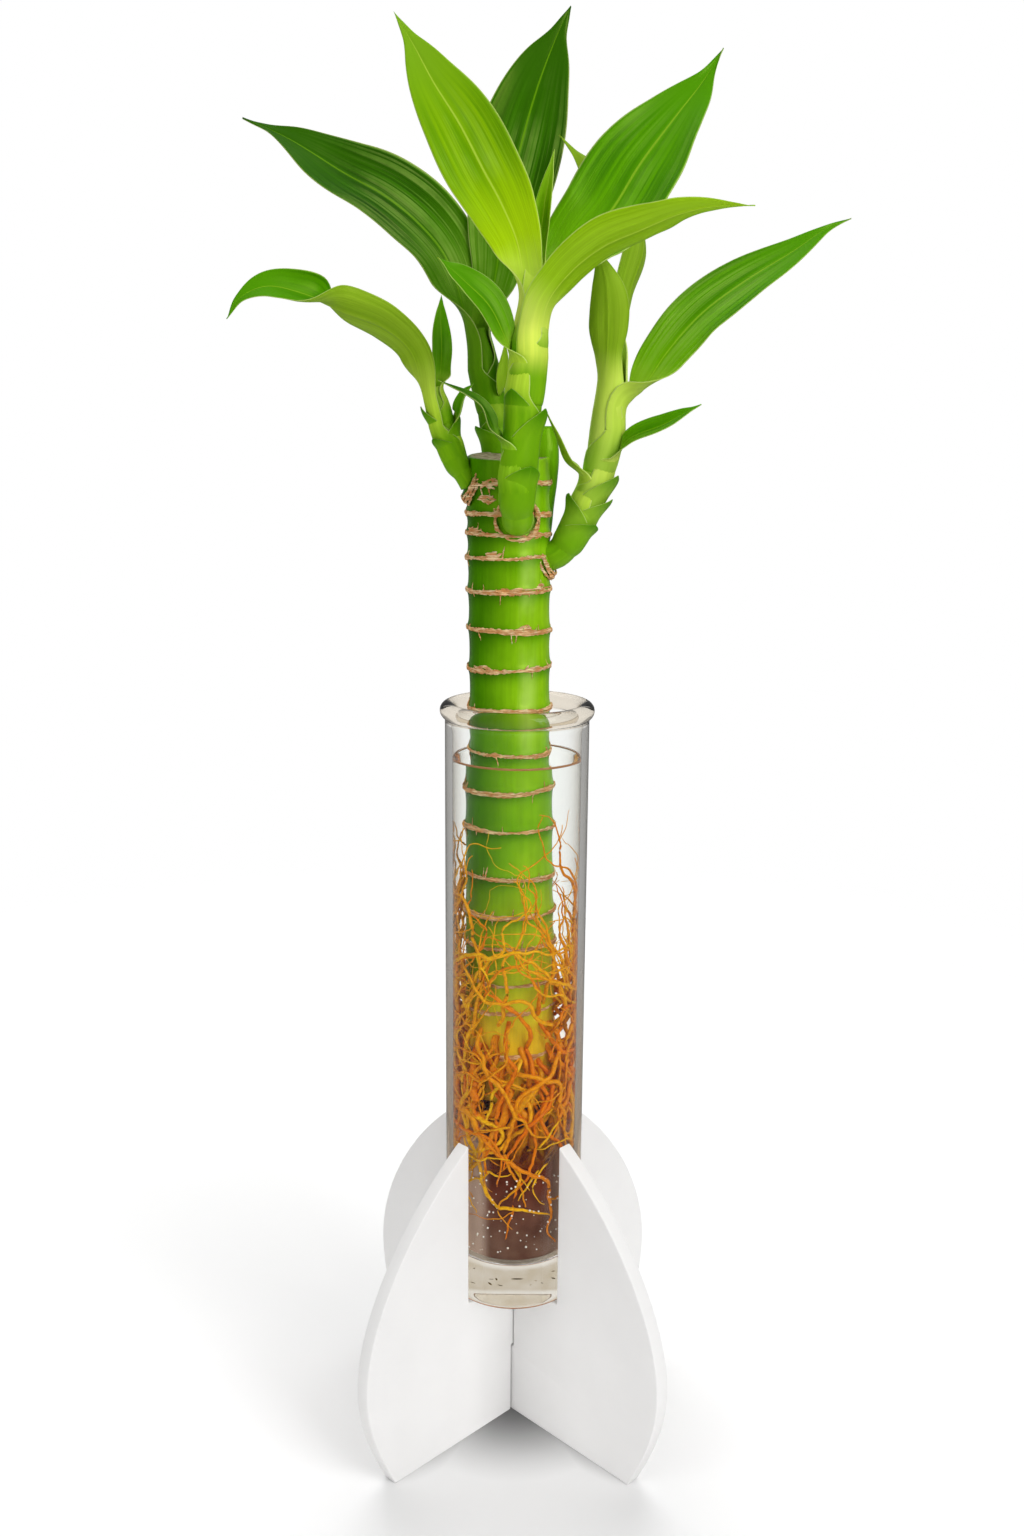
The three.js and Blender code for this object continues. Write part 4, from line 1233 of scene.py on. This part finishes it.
def root_lines():
    """The long roots and those that trail under them, the thick ones, and their fine side roots."""
    chance = random.Random(5)
    strands = []
    for i, turn in enumerate(spread_turns(chance, 96)):
        turn -= 0.4 * math.sin(2 * turn)
        start = (turn, 11.4, chance.uniform(104, 138))
        if abs(math.cos(turn)) < 0.7 and i % 3:
            continue
        width = chance.uniform(0.38, 0.68)
        reach = chance.uniform(28, 74) * (0.62 if abs(math.cos(turn)) < 0.7 else 1.12)
        strands.append(root_walk(chance, start, chance.gauss(0, 0.25), reach, 17.0, 0.1,
                                 [width, width, width * 0.8, width * 0.5, 0.12], chance.uniform(0.1, 0.8)))
    for turn in spread_turns(chance, 68):
        start = (turn, 11.2, chance.uniform(104, 134))
        width = chance.uniform(0.45, 0.85)
        strands.append(root_walk(chance, start, math.pi + chance.gauss(0, 0.3), chance.uniform(26, 66),
                                 chance.uniform(14.6, 17.0), 0.1,
                                 [width, width, width * 0.9, width * 0.7, 0.2], chance.random()))
    thick = []
    for turn in spread_turns(chance, 56):
        start = (turn, chance.uniform(8, 12), chance.uniform(102, 124))
        width = chance.uniform(0.75, 1.4)
        widths = [width * 0.8, width, width * 1.05, width * 0.8, 0.35]
        thick.append(root_walk(chance, start, math.pi + chance.gauss(0, 0.35), chance.uniform(20, 36),
                               chance.uniform(11, 16.2), 0.2, widths, chance.uniform(0.1, 0.6)))
    trailing = []
    for turn in spread_turns(chance, 22):
        start = (turn, chance.uniform(12, 15.5), chance.uniform(84, 94))
        width = chance.uniform(0.28, 0.42)
        widths = [width, width, width * 0.8, 0.12]
        trailing.append(root_walk(chance, start, math.pi + chance.gauss(0, 0.9), chance.uniform(14, 30),
                                  17.0, 0.04, widths, 0.9))
    fine = offshoots(chance, strands, 230, 7, 26, 0.6)
    inner = offshoots(chance, thick, 190, 8, 20, 0.5)
    return strands + trailing, thick, fine + inner


strands, thick, fine = root_lines()
rooted = dict(flatness=1.0, wander=0.0009, wander_scale=260.0, roughness=0.7, rough_scale=500.0,
              material=ROOT)
long_roots = grown("root_strands", guide_mesh(strands + thick), STRANDS, step=0.0009, sides=6, **rooted)
keep(long_roots, "roots", "roots")
keep(grown("root_threads", guide_mesh(fine), STRANDS, step=0.0011, sides=5, **rooted), "roots")


def crown_core():
    """The dark mass that the roots grow from, lumpy and a little narrower than they reach."""
    heights = np.linspace(80, 113, 26)
    swell = [0.35, 0.6, 0.78, 0.86, 0.92, 0.94, 0.9, 0.8, 0.5]
    sides = 48
    centre = vec(-1, 0, 0)
    lumps = [waves(200 + k, 7, 3.0) for k in range(4)]
    points = []
    for i, z in enumerate(heights):
        share = i / (len(heights) - 1)
        for turn in turns_round(sides):
            uneven = sum(lump(turn + k + z * 0.13 * (k - 1.5)) for k, lump in enumerate(lumps)) / 2.2
            radius = 12.2 * steps_at(swell, share) * (1 + 0.13 * uneven)
            points.append(centre + polar(turn, radius, z + 1.5 * uneven))
    faces = close_ends(points, sides, centre + vec(0, 0, heights[0] - 1), centre + vec(0, 0, heights[-1]))
    return piece("root_crown", points, faces, CROWN)


keep(crown_core(), "roots")


# Bubbles and specks


def cylinder_guide(radius, low, high, sides=48):
    points = [polar(turn, radius, z) * MM for z in (low, high) for turn in turns_round(sides)]
    mesh = bpy.data.meshes.new("guide")
    mesh.from_pydata([tuple(p) for p in points], [], grid_faces(2, sides, closed=True))
    return mesh


bubbles = grown("bubbles", cylinder_guide(17.2, 59.5, 86), SPECKS, density=120000.0, smallest=0.00008,
                largest=0.00032, stretch=(1.0, 1.0, 1.0), seed=4, material=BUBBLE)
specks = grown("foot_specks", cylinder_guide(14.5, 49.5, 53.5), SPECKS, density=90000.0, smallest=0.0001,
               largest=0.00035, stretch=(3.2, 1.0, 0.6), seed=9, material=SPECK)
keep(bubbles, "water")
keep(specks, "clear_glass")


# Shoots

STEMS = {
    "left": {
        "path": [(-14.2, -3.4, 281.2), (-16.4, -3.4, 284.5), (-18.8, -3, 291), (-21, -3, 298),
                 (-22.6, -3, 304)],
        "radii": [2.6, 3, 3, 2.7, 1.8],
        "boss": 0,
        "pale": (296, 312),
    },
    "front": {
        "path": [(-0.4, -13.3, 270.8), (-0.6, -15.8, 275), (0, -17, 286), (1, -17, 297), (2, -17, 310),
                 (3, -16.5, 326)],
        "radii": [4, 4.6, 4.4, 4.3, 3.8, 2.2],
        "boss": 1,
        "pale": (310, 324),
    },
    "back": {
        "path": [(-5, 11.4, 281), (-6, 12.6, 290), (-7.6, 13.4, 300), (-10, 14, 311), (-11.5, 15, 320)],
        "radii": [3.8, 4.2, 4, 3.4, 2],
        "boss": 2,
        "pale": (300, 380),
    },
    "right": {
        "path": [(10.6, -2.4, 261.4), (13.6, -3, 265), (17, -3, 272), (20.6, -3, 282), (22.6, -3, 291),
                 (24, -3, 302), (24.6, -2, 312)],
        "radii": [3.8, 4.2, 4, 4, 3.8, 3.2, 2],
        "boss": 3,
        "pale": (262, 292),
    },
}
STEM_PATHS = {name: Path(stem["path"]) for name, stem in STEMS.items()}

# A leaf narrower than this, in millimetres, is a small one that clasps closer and has a short sheath
SMALL_LEAF = 8

# Every leaf, by its solid's values, but for the fold and the turned tip of the first. Grip is
# where its clasp lies on the stem, out the heading of the clasp's back, faces the way its upper
# side looks, and path its midrib.
LEAVES = [
    {"name": "left_arching", "slot": "leaf_green", "stem": "left", "grip": (0.62, 0.86), "out": 190,
     "width": 13.5, "wide": 0.5, "faces": (0.1, 0.7, 0.7), "tip_faces": (-0.1, -0.85, 0.55),
     "fold": 0.5, "turn_fold": 1.35,
     "path": [(-28, -4.5, 313), (-35, -6, 319), (-45, -8, 322.5), (-55, -10, 326.5), (-64, -12, 328),
              (-70.5, -13, 325), (-74, -13, 320)]},
    {"name": "left_upright", "slot": "leaf_green", "stem": "left", "grip": (0.84, 0.98), "out": 30,
     "width": 5, "wide": 0.45, "faces": (0.3, -1, 0), "fold": 0.5,
     "path": [(-20.5, -1, 314), (-20.7, 0, 321), (-20.6, 1, 327.5)]},
    {"name": "left_low", "slot": "leaf_green", "stem": "left", "grip": (0.36, 0.58), "out": 0,
     "width": 5, "wide": 0.4, "faces": (-0.7, -0.5, 0.4), "fold": 0.7,
     "path": [(-16, -5, 297), (-14.5, -6, 302), (-12, -7, 305)]},
    {"name": "front_bright", "slot": "leaf_bright", "stem": "front", "grip": (0.88, 0.99), "out": 150,
     "width": 19, "wide": 0.47, "faces": (-0.25, -1, 0.3), "fold": 0.35,
     "path": [(-0.5, -14, 337), (-4.5, -12.5, 347), (-9.5, -11, 356), (-15.5, -9, 367),
              (-22, -6.5, 377), (-27, -4, 386), (-32, -2, 394)]},
    {"name": "front_arching", "slot": "leaf_bright", "stem": "front", "grip": (0.74, 0.86), "out": -50,
     "width": 15.5, "wide": 0.42, "faces": (-0.5, 0.6, 0.6), "fold": 0.5,
     "path": [(6.5, -22, 324), (11, -24, 330), (19, -28, 336), (28, -32, 339.5), (37, -37, 342.5),
              (45, -41, 343.5), (53, -44, 343)]},
    {"name": "front_small", "slot": "leaf_green", "stem": "front", "grip": (0.58, 0.72), "out": 200,
     "width": 10, "wide": 0.5, "faces": (0.2, -0.8, 0.6), "fold": 0.5,
     "path": [(-5, -21.5, 318), (-8, -24, 323), (-13, -27, 327.5), (-20, -31, 333)]},
    {"name": "front_spear", "slot": "leaf_bright", "stem": "front", "grip": (0.97, 1.08), "out": 80,
     "width": 5, "wide": 0.42, "faces": (-0.4, -1, 0.1), "fold": 0.9,
     "path": [(4.6, -12, 338), (5.8, -11, 348), (8, -10, 361)]},
    {"name": "front_narrow", "slot": "leaf_dark", "stem": "front", "grip": (0.2, 0.34), "out": 200,
     "width": 5, "wide": 0.35, "faces": (0.1, -0.5, 0.9), "fold": 0.6,
     "path": [(-6.5, -20.5, 293), (-10, -23, 299.5), (-20, -28, 305)]},
    {"name": "front_large", "slot": "leaf_green", "stem": "front", "grip": (0.84, 0.96), "out": 30,
     "width": 26, "wide": 0.45, "faces": (-0.35, -1, 0.35), "fold": 0.4,
     "path": [(10, -13.5, 332), (15, -11, 339), (22.5, -8, 347), (30, -4, 359), (39, 0, 371),
              (46, 3, 380), (51, 5, 388)]},
    {"name": "back_dark", "slot": "leaf_dark", "stem": "back", "grip": (0.74, 0.92), "out": 185,
     "width": 26, "wide": 0.46, "faces": (0.3, -0.8, 0.6), "fold": 0.45,
     "path": [(-17, 16.5, 331), (-21, 18, 340), (-28, 20, 348), (-37, 22, 355), (-48, 24, 361),
              (-63, 27, 370), (-76, 30, 376)]},
    {"name": "back_tall", "slot": "leaf_dark", "stem": "back", "grip": (0.84, 0.99), "out": 60,
     "width": 24, "wide": 0.52, "faces": (-0.1, -1, 0.1), "fold": 0.35,
     "path": [(-7, 19, 333), (-5, 21.5, 346), (-1, 25, 365), (4, 28, 383), (8.5, 30, 395),
              (13, 32, 405)]},
    {"name": "back_low", "slot": "leaf_green", "stem": "back", "grip": (0.4, 0.58), "out": 330,
     "width": 6, "wide": 0.35, "faces": (-0.8, 0.5, 0.3), "fold": 0.9,
     "path": [(-3.8, 9, 305), (-3.6, 8.5, 311), (-4, 8, 317)]},
    {"name": "right_long", "slot": "leaf_green", "stem": "right", "grip": (0.66, 0.78), "out": -20,
     "width": 15.5, "wide": 0.42, "faces": (-0.45, -1, 0.5), "fold": 0.4, "fade": 0.45,
     "path": [(32, -4, 304), (38, -2, 313), (47, 2, 323), (59, 6, 332), (72, 10, 340), (81, 13, 346),
              (88, 15, 349)]},
    {"name": "right_behind", "slot": "leaf_green", "stem": "right", "grip": (0.86, 0.99), "out": 60,
     "width": 16, "wide": 0.5, "faces": (-0.8, 0.5, 0.3), "fold": 0.5,
     "path": [(28.5, 5, 329), (32, 9, 341), (29, 13, 351), (22, 16, 358), (10, 19, 370)]},
    {"name": "right_folded", "slot": "leaf_green", "stem": "right", "grip": (0.76, 0.9), "out": 230,
     "width": 11, "wide": 0.45, "faces": (0.1, 1, 0.3), "fold": 0.8,
     "path": [(22.5, -8, 318), (22, -9, 328), (19, -9, 339)]},
    {"name": "right_small", "slot": "leaf_green", "stem": "right", "grip": (0.4, 0.52), "out": -30,
     "width": 7, "wide": 0.5, "faces": (-0.3, -0.6, 0.8), "fold": 0.5,
     "path": [(28, -9, 291), (37, -12, 295), (46, -15, 300)]},
    {"name": "right_narrow", "slot": "leaf_green", "stem": "right", "grip": (0.26, 0.4), "out": 200,
     "width": 4, "wide": 0.3, "faces": (0.7, 0.1, 0.6), "fold": 0.8,
     "path": [(12, -8, 286), (9.5, -11, 292), (6.5, -14, 298.5)]},
]

SCALES = {
    "left": [((0.1, 0.3), 215, 4), ((0.3, 0.5), 190, 8), ((0.16, 0.34), 345, 7)],
    "front": [((0.06, 0.18), 300, 4), ((0.24, 0.4), 330, 6), ((0.36, 0.52), 230, 3)],
    "back": [((0.1, 0.24), 200, 4), ((0.24, 0.4), 20, 5)],
    "right": [((0.02, 0.1), 320, 5), ((0.09, 0.19), 345, 8), ((0.18, 0.3), 330, 8), ((0.06, 0.16), 200, 7)],
}


def blade_share(along, wide):
    """Half of the blade's width, as a share of its largest, from the trough's end to the tip."""
    blunt = 2.6
    u = min(max(along, 0.0), 1.0)
    body = (u / wide) ** (blunt * wide) * ((1 - u) / (1 - wide)) ** (blunt * (1 - wide))
    return body * (1 - 0.35 * math.exp(-((u - 0.93) / 0.06) ** 2))


def clearance(leaf):
    """How far a leaf's clasp stands off its stem."""
    return 0.75 if leaf["width"] > SMALL_LEAF else 0.35


def leaf_line(leaf):
    """A leaf's midrib, the heading of its clasp's back, the share that clasps and the clasp's radius."""
    stem, curve = STEMS[leaf["stem"]], STEM_PATHS[leaf["stem"]]
    back = polar(math.radians(leaf["out"]))
    clasp, radii = [], []
    for share in leaf["grip"]:
        inside = min(share, 1.0)
        radii.append(steps_at(stem["radii"], inside) + clearance(leaf))
        clasp.append(curve.at(share) + square_to(back, curve.way(inside)) * radii[-1])
    path = Path([*clasp, *leaf["path"]])
    grip = np.linalg.norm(clasp[1] - clasp[0]) / path.length
    return path, back, grip, radii[0]


def sheath_rows(leaf, back, rows, shares):
    """Rows of the sheath, which wraps the stem from under the clasp and opens towards it."""
    stem, curve = STEMS[leaf["stem"]], STEM_PATHS[leaf["stem"]]
    top = leaf["grip"][0]
    length = 12.0 if leaf["width"] > SMALL_LEAF else 6.0
    low = max(top - length / curve.length, 0.03)
    sheet = []
    for i in range(rows):
        t = i / rows
        share = mix(low, top, t)
        inside = min(share, 1.0)
        way = curve.way(inside)
        radius = steps_at(stem["radii"], inside) + mix(-0.28, clearance(leaf), t ** 0.5)
        out = square_to(back, way)
        side = np.cross(way, -out)
        wrap = mix(3.08, 1.4, smooth(0.15, 1.0, t))
        row = []
        for s in shares:
            facing = out * math.cos(wrap * s) + side * math.sin(wrap * s)
            row.append((curve.at(share) + radius * facing, -facing))
        sheet.append((row, 0.0, (share - top) * curve.length, wrap * radius))
    return sheet


def blade_rows(leaf, midrib, rows, shares):
    """Rows of the blade: a trough at the clasp that opens, turns its face and ends in the tip."""
    path, back, grip, clasp_radius = midrib
    wander = waves(sum(map(ord, leaf["name"])), 5)
    tip_faces = leaf.get("tip_faces")
    turn_fold = leaf.get("turn_fold", leaf["fold"])
    sheet = []
    for i in range(rows):
        share = i / (rows - 1)
        way = path.way(share)
        opened = smooth(grip * 0.8, grip * 1.2 + 0.16, share)
        up = mix(-back, vec(*leaf["faces"]), opened)
        if tip_faces:
            up = mix(up, vec(*tip_faces), smooth(0.5, 0.72, share))
        up = square_to(up, way)
        side = np.cross(way, up)
        trough = mix(1.35 * clasp_radius, 0.35 * clasp_radius, smooth(0, 0.5, share))
        trough *= 1 - smooth(0.2, 0.85, share)
        blade = 0.5 * leaf["width"] * blade_share((share - grip) / (1 - grip), leaf["wide"])
        half = math.hypot(trough, blade) + 0.25 * (1 - smooth(0.93, 1, share)) + 0.02
        fold = mix(leaf["fold"], turn_fold, math.exp(-((share - 0.62) / 0.13) ** 2))
        curl = mix(min(half / clasp_radius, 1.5), fold, opened)
        radius = half / curl
        row = []
        for s in shares:
            turn = curl * s
            ripple = math.sin(9 * share + 2.5 * s + 3 * wander(5 * share))
            wave = opened * 0.02 * leaf["width"] * abs(s) ** 2 * ripple
            crease = -0.16 * opened * math.exp(-(s / 0.07) ** 2) * min(1.0, half / 4)
            normal = up * math.cos(turn) - side * math.sin(turn)
            at = path.at(share) + side * radius * math.sin(turn) + up * radius * (1 - math.cos(turn))
            row.append((at + normal * (wave + crease), normal))
        sheet.append((row, opened, share * path.length, mix(half, 0.5 * leaf["width"], opened)))
    return sheet


def rim_faces(rows, columns):
    """Faces that close the gap between two equal grids of points, stored one after the other."""
    count = rows * columns
    edge = [(j, j + 1) for j in range(columns - 1)]
    edge += [((i + 1) * columns - 1, (i + 2) * columns - 1) for i in range(rows - 1)]
    edge += [(count - 1 - j, count - 2 - j) for j in range(columns - 1)]
    edge += [((rows - 1 - i) * columns, (rows - 2 - i) * columns) for i in range(rows - 1)]
    return [(b, a, a + count, b + count) for a, b in edge]


def pale_share(stem_name, points):
    """How pale each point is: a shoot's wrapped bases fade above a certain height."""
    low, high = STEMS[stem_name]["pale"]
    return [float(smooth(low, high, p[2])) for p in points]


def leaf_shell(leaf, rows, columns):
    """Points, faces and named values of a leaf with its real thickness."""
    shares = np.linspace(-1, 1, columns)
    midrib = leaf_line(leaf)
    wrapped = max(int(rows * 0.3), 6)
    sheet = sheath_rows(leaf, midrib[1], wrapped, shares) + blade_rows(leaf, midrib, rows, shares)
    points, across, opened, along, sheath, uv = [], [], [], [], [], []
    total = len(sheet)
    for above in (True, False):
        for index, (row, open_share, distance, reach) in enumerate(sheet):
            way_up = index / total
            thick = mix(0.6, 0.34, smooth(0.2, 0.6, way_up)) * (1 - 0.45 * smooth(0.9, 1, way_up))
            for s, (at, normal) in zip(shares, row):
                keel = 0.0 if above else 0.35 * open_share * math.exp(-(s / 0.06) ** 2) * (1 - way_up)
                offset = 0.5 * thick * (1 - 0.5 * abs(s) ** 6)
                points.append(at + normal * offset if above else at - normal * (offset + keel))
                across.append(s)
                opened.append(open_share)
                along.append(max(index - wrapped, 0) / (total - wrapped))
                sheath.append(1.0 - smooth(0.5, 1.25, index / wrapped))
                uv.append((s * reach / 10, distance / 10))
    count = total * columns
    faces = grid_faces(total, columns)
    under = [0.0] * len(faces)
    faces += grid_faces(total, columns, start=count, flip=True)
    under += [1.0] * (len(faces) - len(under))
    edge = rim_faces(total, columns)
    faces += edge
    under += [0.5] * len(edge)
    values = {"across": across, "opened": opened, "along": along, "sheath": sheath,
              "pale": [leaf.get("fade", 0.8) * share for share in pale_share(leaf["stem"], points)]}
    return points, faces, values, {"under": under}, uv


def scale_shell(name, grip, out, rise, rows=26, columns=25):
    """A leaf base that never opened: it wraps the stem tightly and ends in a point that stands out."""
    stem, curve = STEMS[name], STEM_PATHS[name]
    back = polar(math.radians(out))
    low = max(grip[0] - 7.0 / curve.length, 0.02)
    high = grip[1] + (1.2 + 0.9 * rise) / curve.length
    points, across, opened, along = [], [], [], []
    for above in (True, False):
        for i in range(rows):
            t = i / (rows - 1)
            share = mix(low, high, t)
            way = curve.way(min(share, 1.0))
            radius = steps_at(stem["radii"], min(share, 1.0))
            stand = mix(-0.3, 0.3, smooth(0, 0.3, t)) + (0.5 + 0.16 * rise) * smooth(0.55, 1, t) ** 1.5
            wrap = 3.1 * (1 - np.clip((t - 0.22) / 0.78, 0, 1)) ** 0.85 + 0.03
            outward = square_to(back, way)
            side = np.cross(way, -outward)
            for s in np.linspace(-1, 1, columns):
                facing = outward * math.cos(wrap * s) + side * math.sin(wrap * s)
                offset = 0.15 * (1 - 0.5 * abs(s) ** 6)
                raised = radius + stand + (-offset if above else offset)
                points.append(curve.at(share) + facing * raised)
                across.append(s)
                opened.append(0.85 * smooth(0.5, 0.95, t))
                along.append(t)
    count = rows * columns
    faces = grid_faces(rows, columns) + grid_faces(rows, columns, start=count, flip=True)
    faces += rim_faces(rows, columns)
    sheath = [1.0] * len(points)
    uv = [(0.3 * a, 0.6 * t) for a, t in zip(across, along)]
    values = {"across": across, "opened": opened, "along": along, "sheath": sheath,
              "pale": pale_share(name, points)}
    return points, faces, values, {"under": [0.0] * len(faces)}, uv


def build_stem(name):
    """A shoot's stem, rooted in its boss on the cane, with its unopened scales."""
    stem = STEMS[name]
    boss = BOSSES[stem["boss"]]
    sides, rows = 36, 60
    heap = Heap()
    path = Path([boss["at"] + unit(boss["out"]) * 0.5, *stem["path"]])
    radii = [stem["radii"][0] * 1.02, *stem["radii"]]
    points, faces = tube_along(path, radii, sides, rows)
    count = len(points)
    values = {
        "across": [0.5] * count,
        "opened": [0.0] * count,
        "along": [i / rows for i in range(rows) for _ in range(sides)] + [0.0, 1.0],
        "sheath": [1.0] * count,
        "pale": pale_share(name, points),
    }
    uv = [(0.05 * j, 0.1 * i) for i in range(rows) for j in range(sides)] + [(0, 0), (0, 6)]
    heap.add(points, faces, values, {"under": [0.0] * len(faces)}, uv)
    for grip, out, rise in SCALES[name]:
        heap.add(*scale_shell(name, grip, out, rise))
    return heap.piece(f"shoot_{name}", LEAF["shoot_stem"])


for stem_name in STEMS:
    keep(build_stem(stem_name), "shoot_stem", f"stem_{stem_name}")

for leaf in LEAVES:
    rows = 90 if leaf["width"] > 12 else 56
    heap = Heap()
    heap.add(*leaf_shell(leaf, rows, 23))
    keep(heap.piece(f"blade_{leaf['name']}", LEAF[leaf["slot"]]), leaf["slot"], f"leaf_{leaf['name']}")


# Floor, light and camera


def floor():
    """A white floor that fades out far off. It has painted shade along the plates' feet and round the middle,
    seen by camera rays only, and it is dimmed where the glass mirrors it once, which would veil what stands
    inside."""
    made, tree, shader, output, place = material("pale studio floor")
    flat = tree.vector("MULTIPLY", place, (1.0, 1.0, 0.0))
    far = tree.add("ShaderNodeVectorMath", {0: flat}, operation="LENGTH").outputs["Value"]
    aside, ahead, _ = tree.parts(flat)
    # Painted shade: darker along the plates' feet and most round the middle, where they cross.
    off_plates = tree.less(tree.maths("ABSOLUTE", aside), tree.maths("ABSOLUTE", ahead))
    by_plates = tree.ramp(tree.maths("ABSOLUTE", off_plates), 0.014, 0.0)
    shade = tree.times(tree.times(by_plates, tree.ramp(far, 0.062, 0.012)), 0.5)
    shade = tree.maths("MAXIMUM", shade, tree.ramp(far, 0.11, 0.03, 0.0, 0.06))
    shade = tree.maths("MAXIMUM", shade, tree.ramp(far, 0.042, 0.002, 0.0, 0.8))
    path = tree.add("ShaderNodeLightPath")
    shade = tree.times(shade, path.outputs["Is Camera Ray"])
    tree.fill(shader, {
        "Base Color": tree.blend(shade, (0.92, 0.92, 0.92, 1.0), BLACK),
        "Roughness": 0.9,
        "Specular IOR Level": 0.0,
    })
    depth = path.outputs["Glossy Depth"]
    mirrored_once = tree.times(tree.maths("GREATER_THAN", depth, 0.5), tree.maths("LESS_THAN", depth, 1.5))
    dimmed = tree.times(mirrored_once, 0.72)
    black = tree.add("ShaderNodeBsdfDiffuse", {"Color": BLACK})
    calm = tree.add("ShaderNodeMixShader", {0: dimmed, 1: shader.outputs[0], 2: black.outputs[0]})
    clear = tree.add("ShaderNodeBsdfTransparent")
    fading = tree.ramp(far, 0.2, 0.6)
    both = tree.add("ShaderNodeMixShader", {0: fading, 1: calm.outputs[0], 2: clear.outputs[0]})
    tree.plug(output.inputs["Surface"], both.outputs[0])
    size = 1500
    points = [vec(x * size, y * size, 0) for x, y in ((-1, -1), (1, -1), (1, 1), (-1, 1))]
    obj = piece("studio_floor", points, [(0, 1, 2, 3)], made, shiny=False)


def softbox(name, place, aim, size, power, shines=True):
    data = bpy.data.lights.new(name, "AREA")
    data.shape = "RECTANGLE"
    data.size, data.size_y = size
    data.energy = power
    obj = bpy.data.objects.new(name, data)
    obj.location = place
    obj.rotation_euler = (Vector(aim) - Vector(place)).to_track_quat("-Z", "Y").to_euler()
    obj.visible_glossy = shines
    obj.visible_transmission = False
    bpy.context.scene.collection.objects.link(obj)


def studio_world():
    """White where the camera looks at it, straight or through the glass, and dim for all other rays."""
    world = bpy.data.worlds.new("white studio")
    bpy.context.scene.world = world
    world.use_nodes = True
    world.node_tree.nodes.clear()
    tree = Tree(world.node_tree)
    way = tree.add("ShaderNodeTexCoord").outputs["Generated"]
    aside, _, rising = tree.parts(way)
    dim = tree.ramp(tree.maths("ABSOLUTE", aside), 0.6, 0.9, 0.32, 0.08)
    path = tree.add("ShaderNodeLightPath")
    depth = path.outputs["Glossy Depth"]
    straight = tree.maths("LESS_THAN", depth, 0.5)
    upward = tree.times(tree.ramp(rising, 0.05, 0.12), tree.maths("LESS_THAN", depth, 3.5))
    clear = tree.maths("MAXIMUM", tree.maths("MAXIMUM", straight, upward), 0.38)
    through = tree.times(path.outputs["Is Transmission Ray"], clear)
    seen = tree.maths("MAXIMUM", path.outputs["Is Camera Ray"], through)
    calmer = tree.less(1.0, tree.times(path.outputs["Is Glossy Ray"], 0.5))
    white = (1.0, 1.0, 1.0, 1.0)
    shown = tree.add("ShaderNodeBackground", {"Color": white, "Strength": 1.0})
    felt = tree.add("ShaderNodeBackground", {"Color": white, "Strength": tree.times(dim, calmer)})
    both = tree.add("ShaderNodeMixShader", {0: seen, 1: felt.outputs[0], 2: shown.outputs[0]})
    output = tree.add("ShaderNodeOutputWorld")
    tree.plug(output.inputs["Surface"], both.outputs[0])


def camera():
    """The camera fitted to the photograph: its lens, its place in millimetres, its tilt and its roll."""
    data = bpy.data.cameras.new("camera")
    data.lens = 33.577
    data.sensor_width = 36
    data.clip_start = 0.01
    place = Vector((-1.33, -389.67, 290.34)) * MM
    tilt = Matrix.Rotation(math.radians(90 - 12.825), 4, "X")
    roll = Matrix.Rotation(0.00723, 4, "Z")
    obj = bpy.data.objects.new("camera", data)
    obj.matrix_world = Matrix.Translation(place) @ tilt @ roll
    bpy.context.scene.collection.objects.link(obj)
    bpy.context.scene.camera = obj


floor()
studio_world()
mid_height = (0, 0, 0.22)
softbox("key", (0.75, -0.75, 0.85), mid_height, (0.7, 0.9), 9.5)
softbox("strip", (0.5, -0.75, 0.3), mid_height, (0.1, 0.55), 0.55)
softbox("fill", (-0.9, -0.6, 0.5), mid_height, (0.6, 1.0), 4.0, shines=False)
softbox("top", (0.0, 0.5, 1.0), mid_height, (0.9, 0.9), 6.5, shines=False)
softbox("back", (-0.3, 0.9, 0.5), mid_height, (0.9, 0.6), 3, shines=False)
camera()
bpy.context.scene.view_settings.view_transform = "Standard"
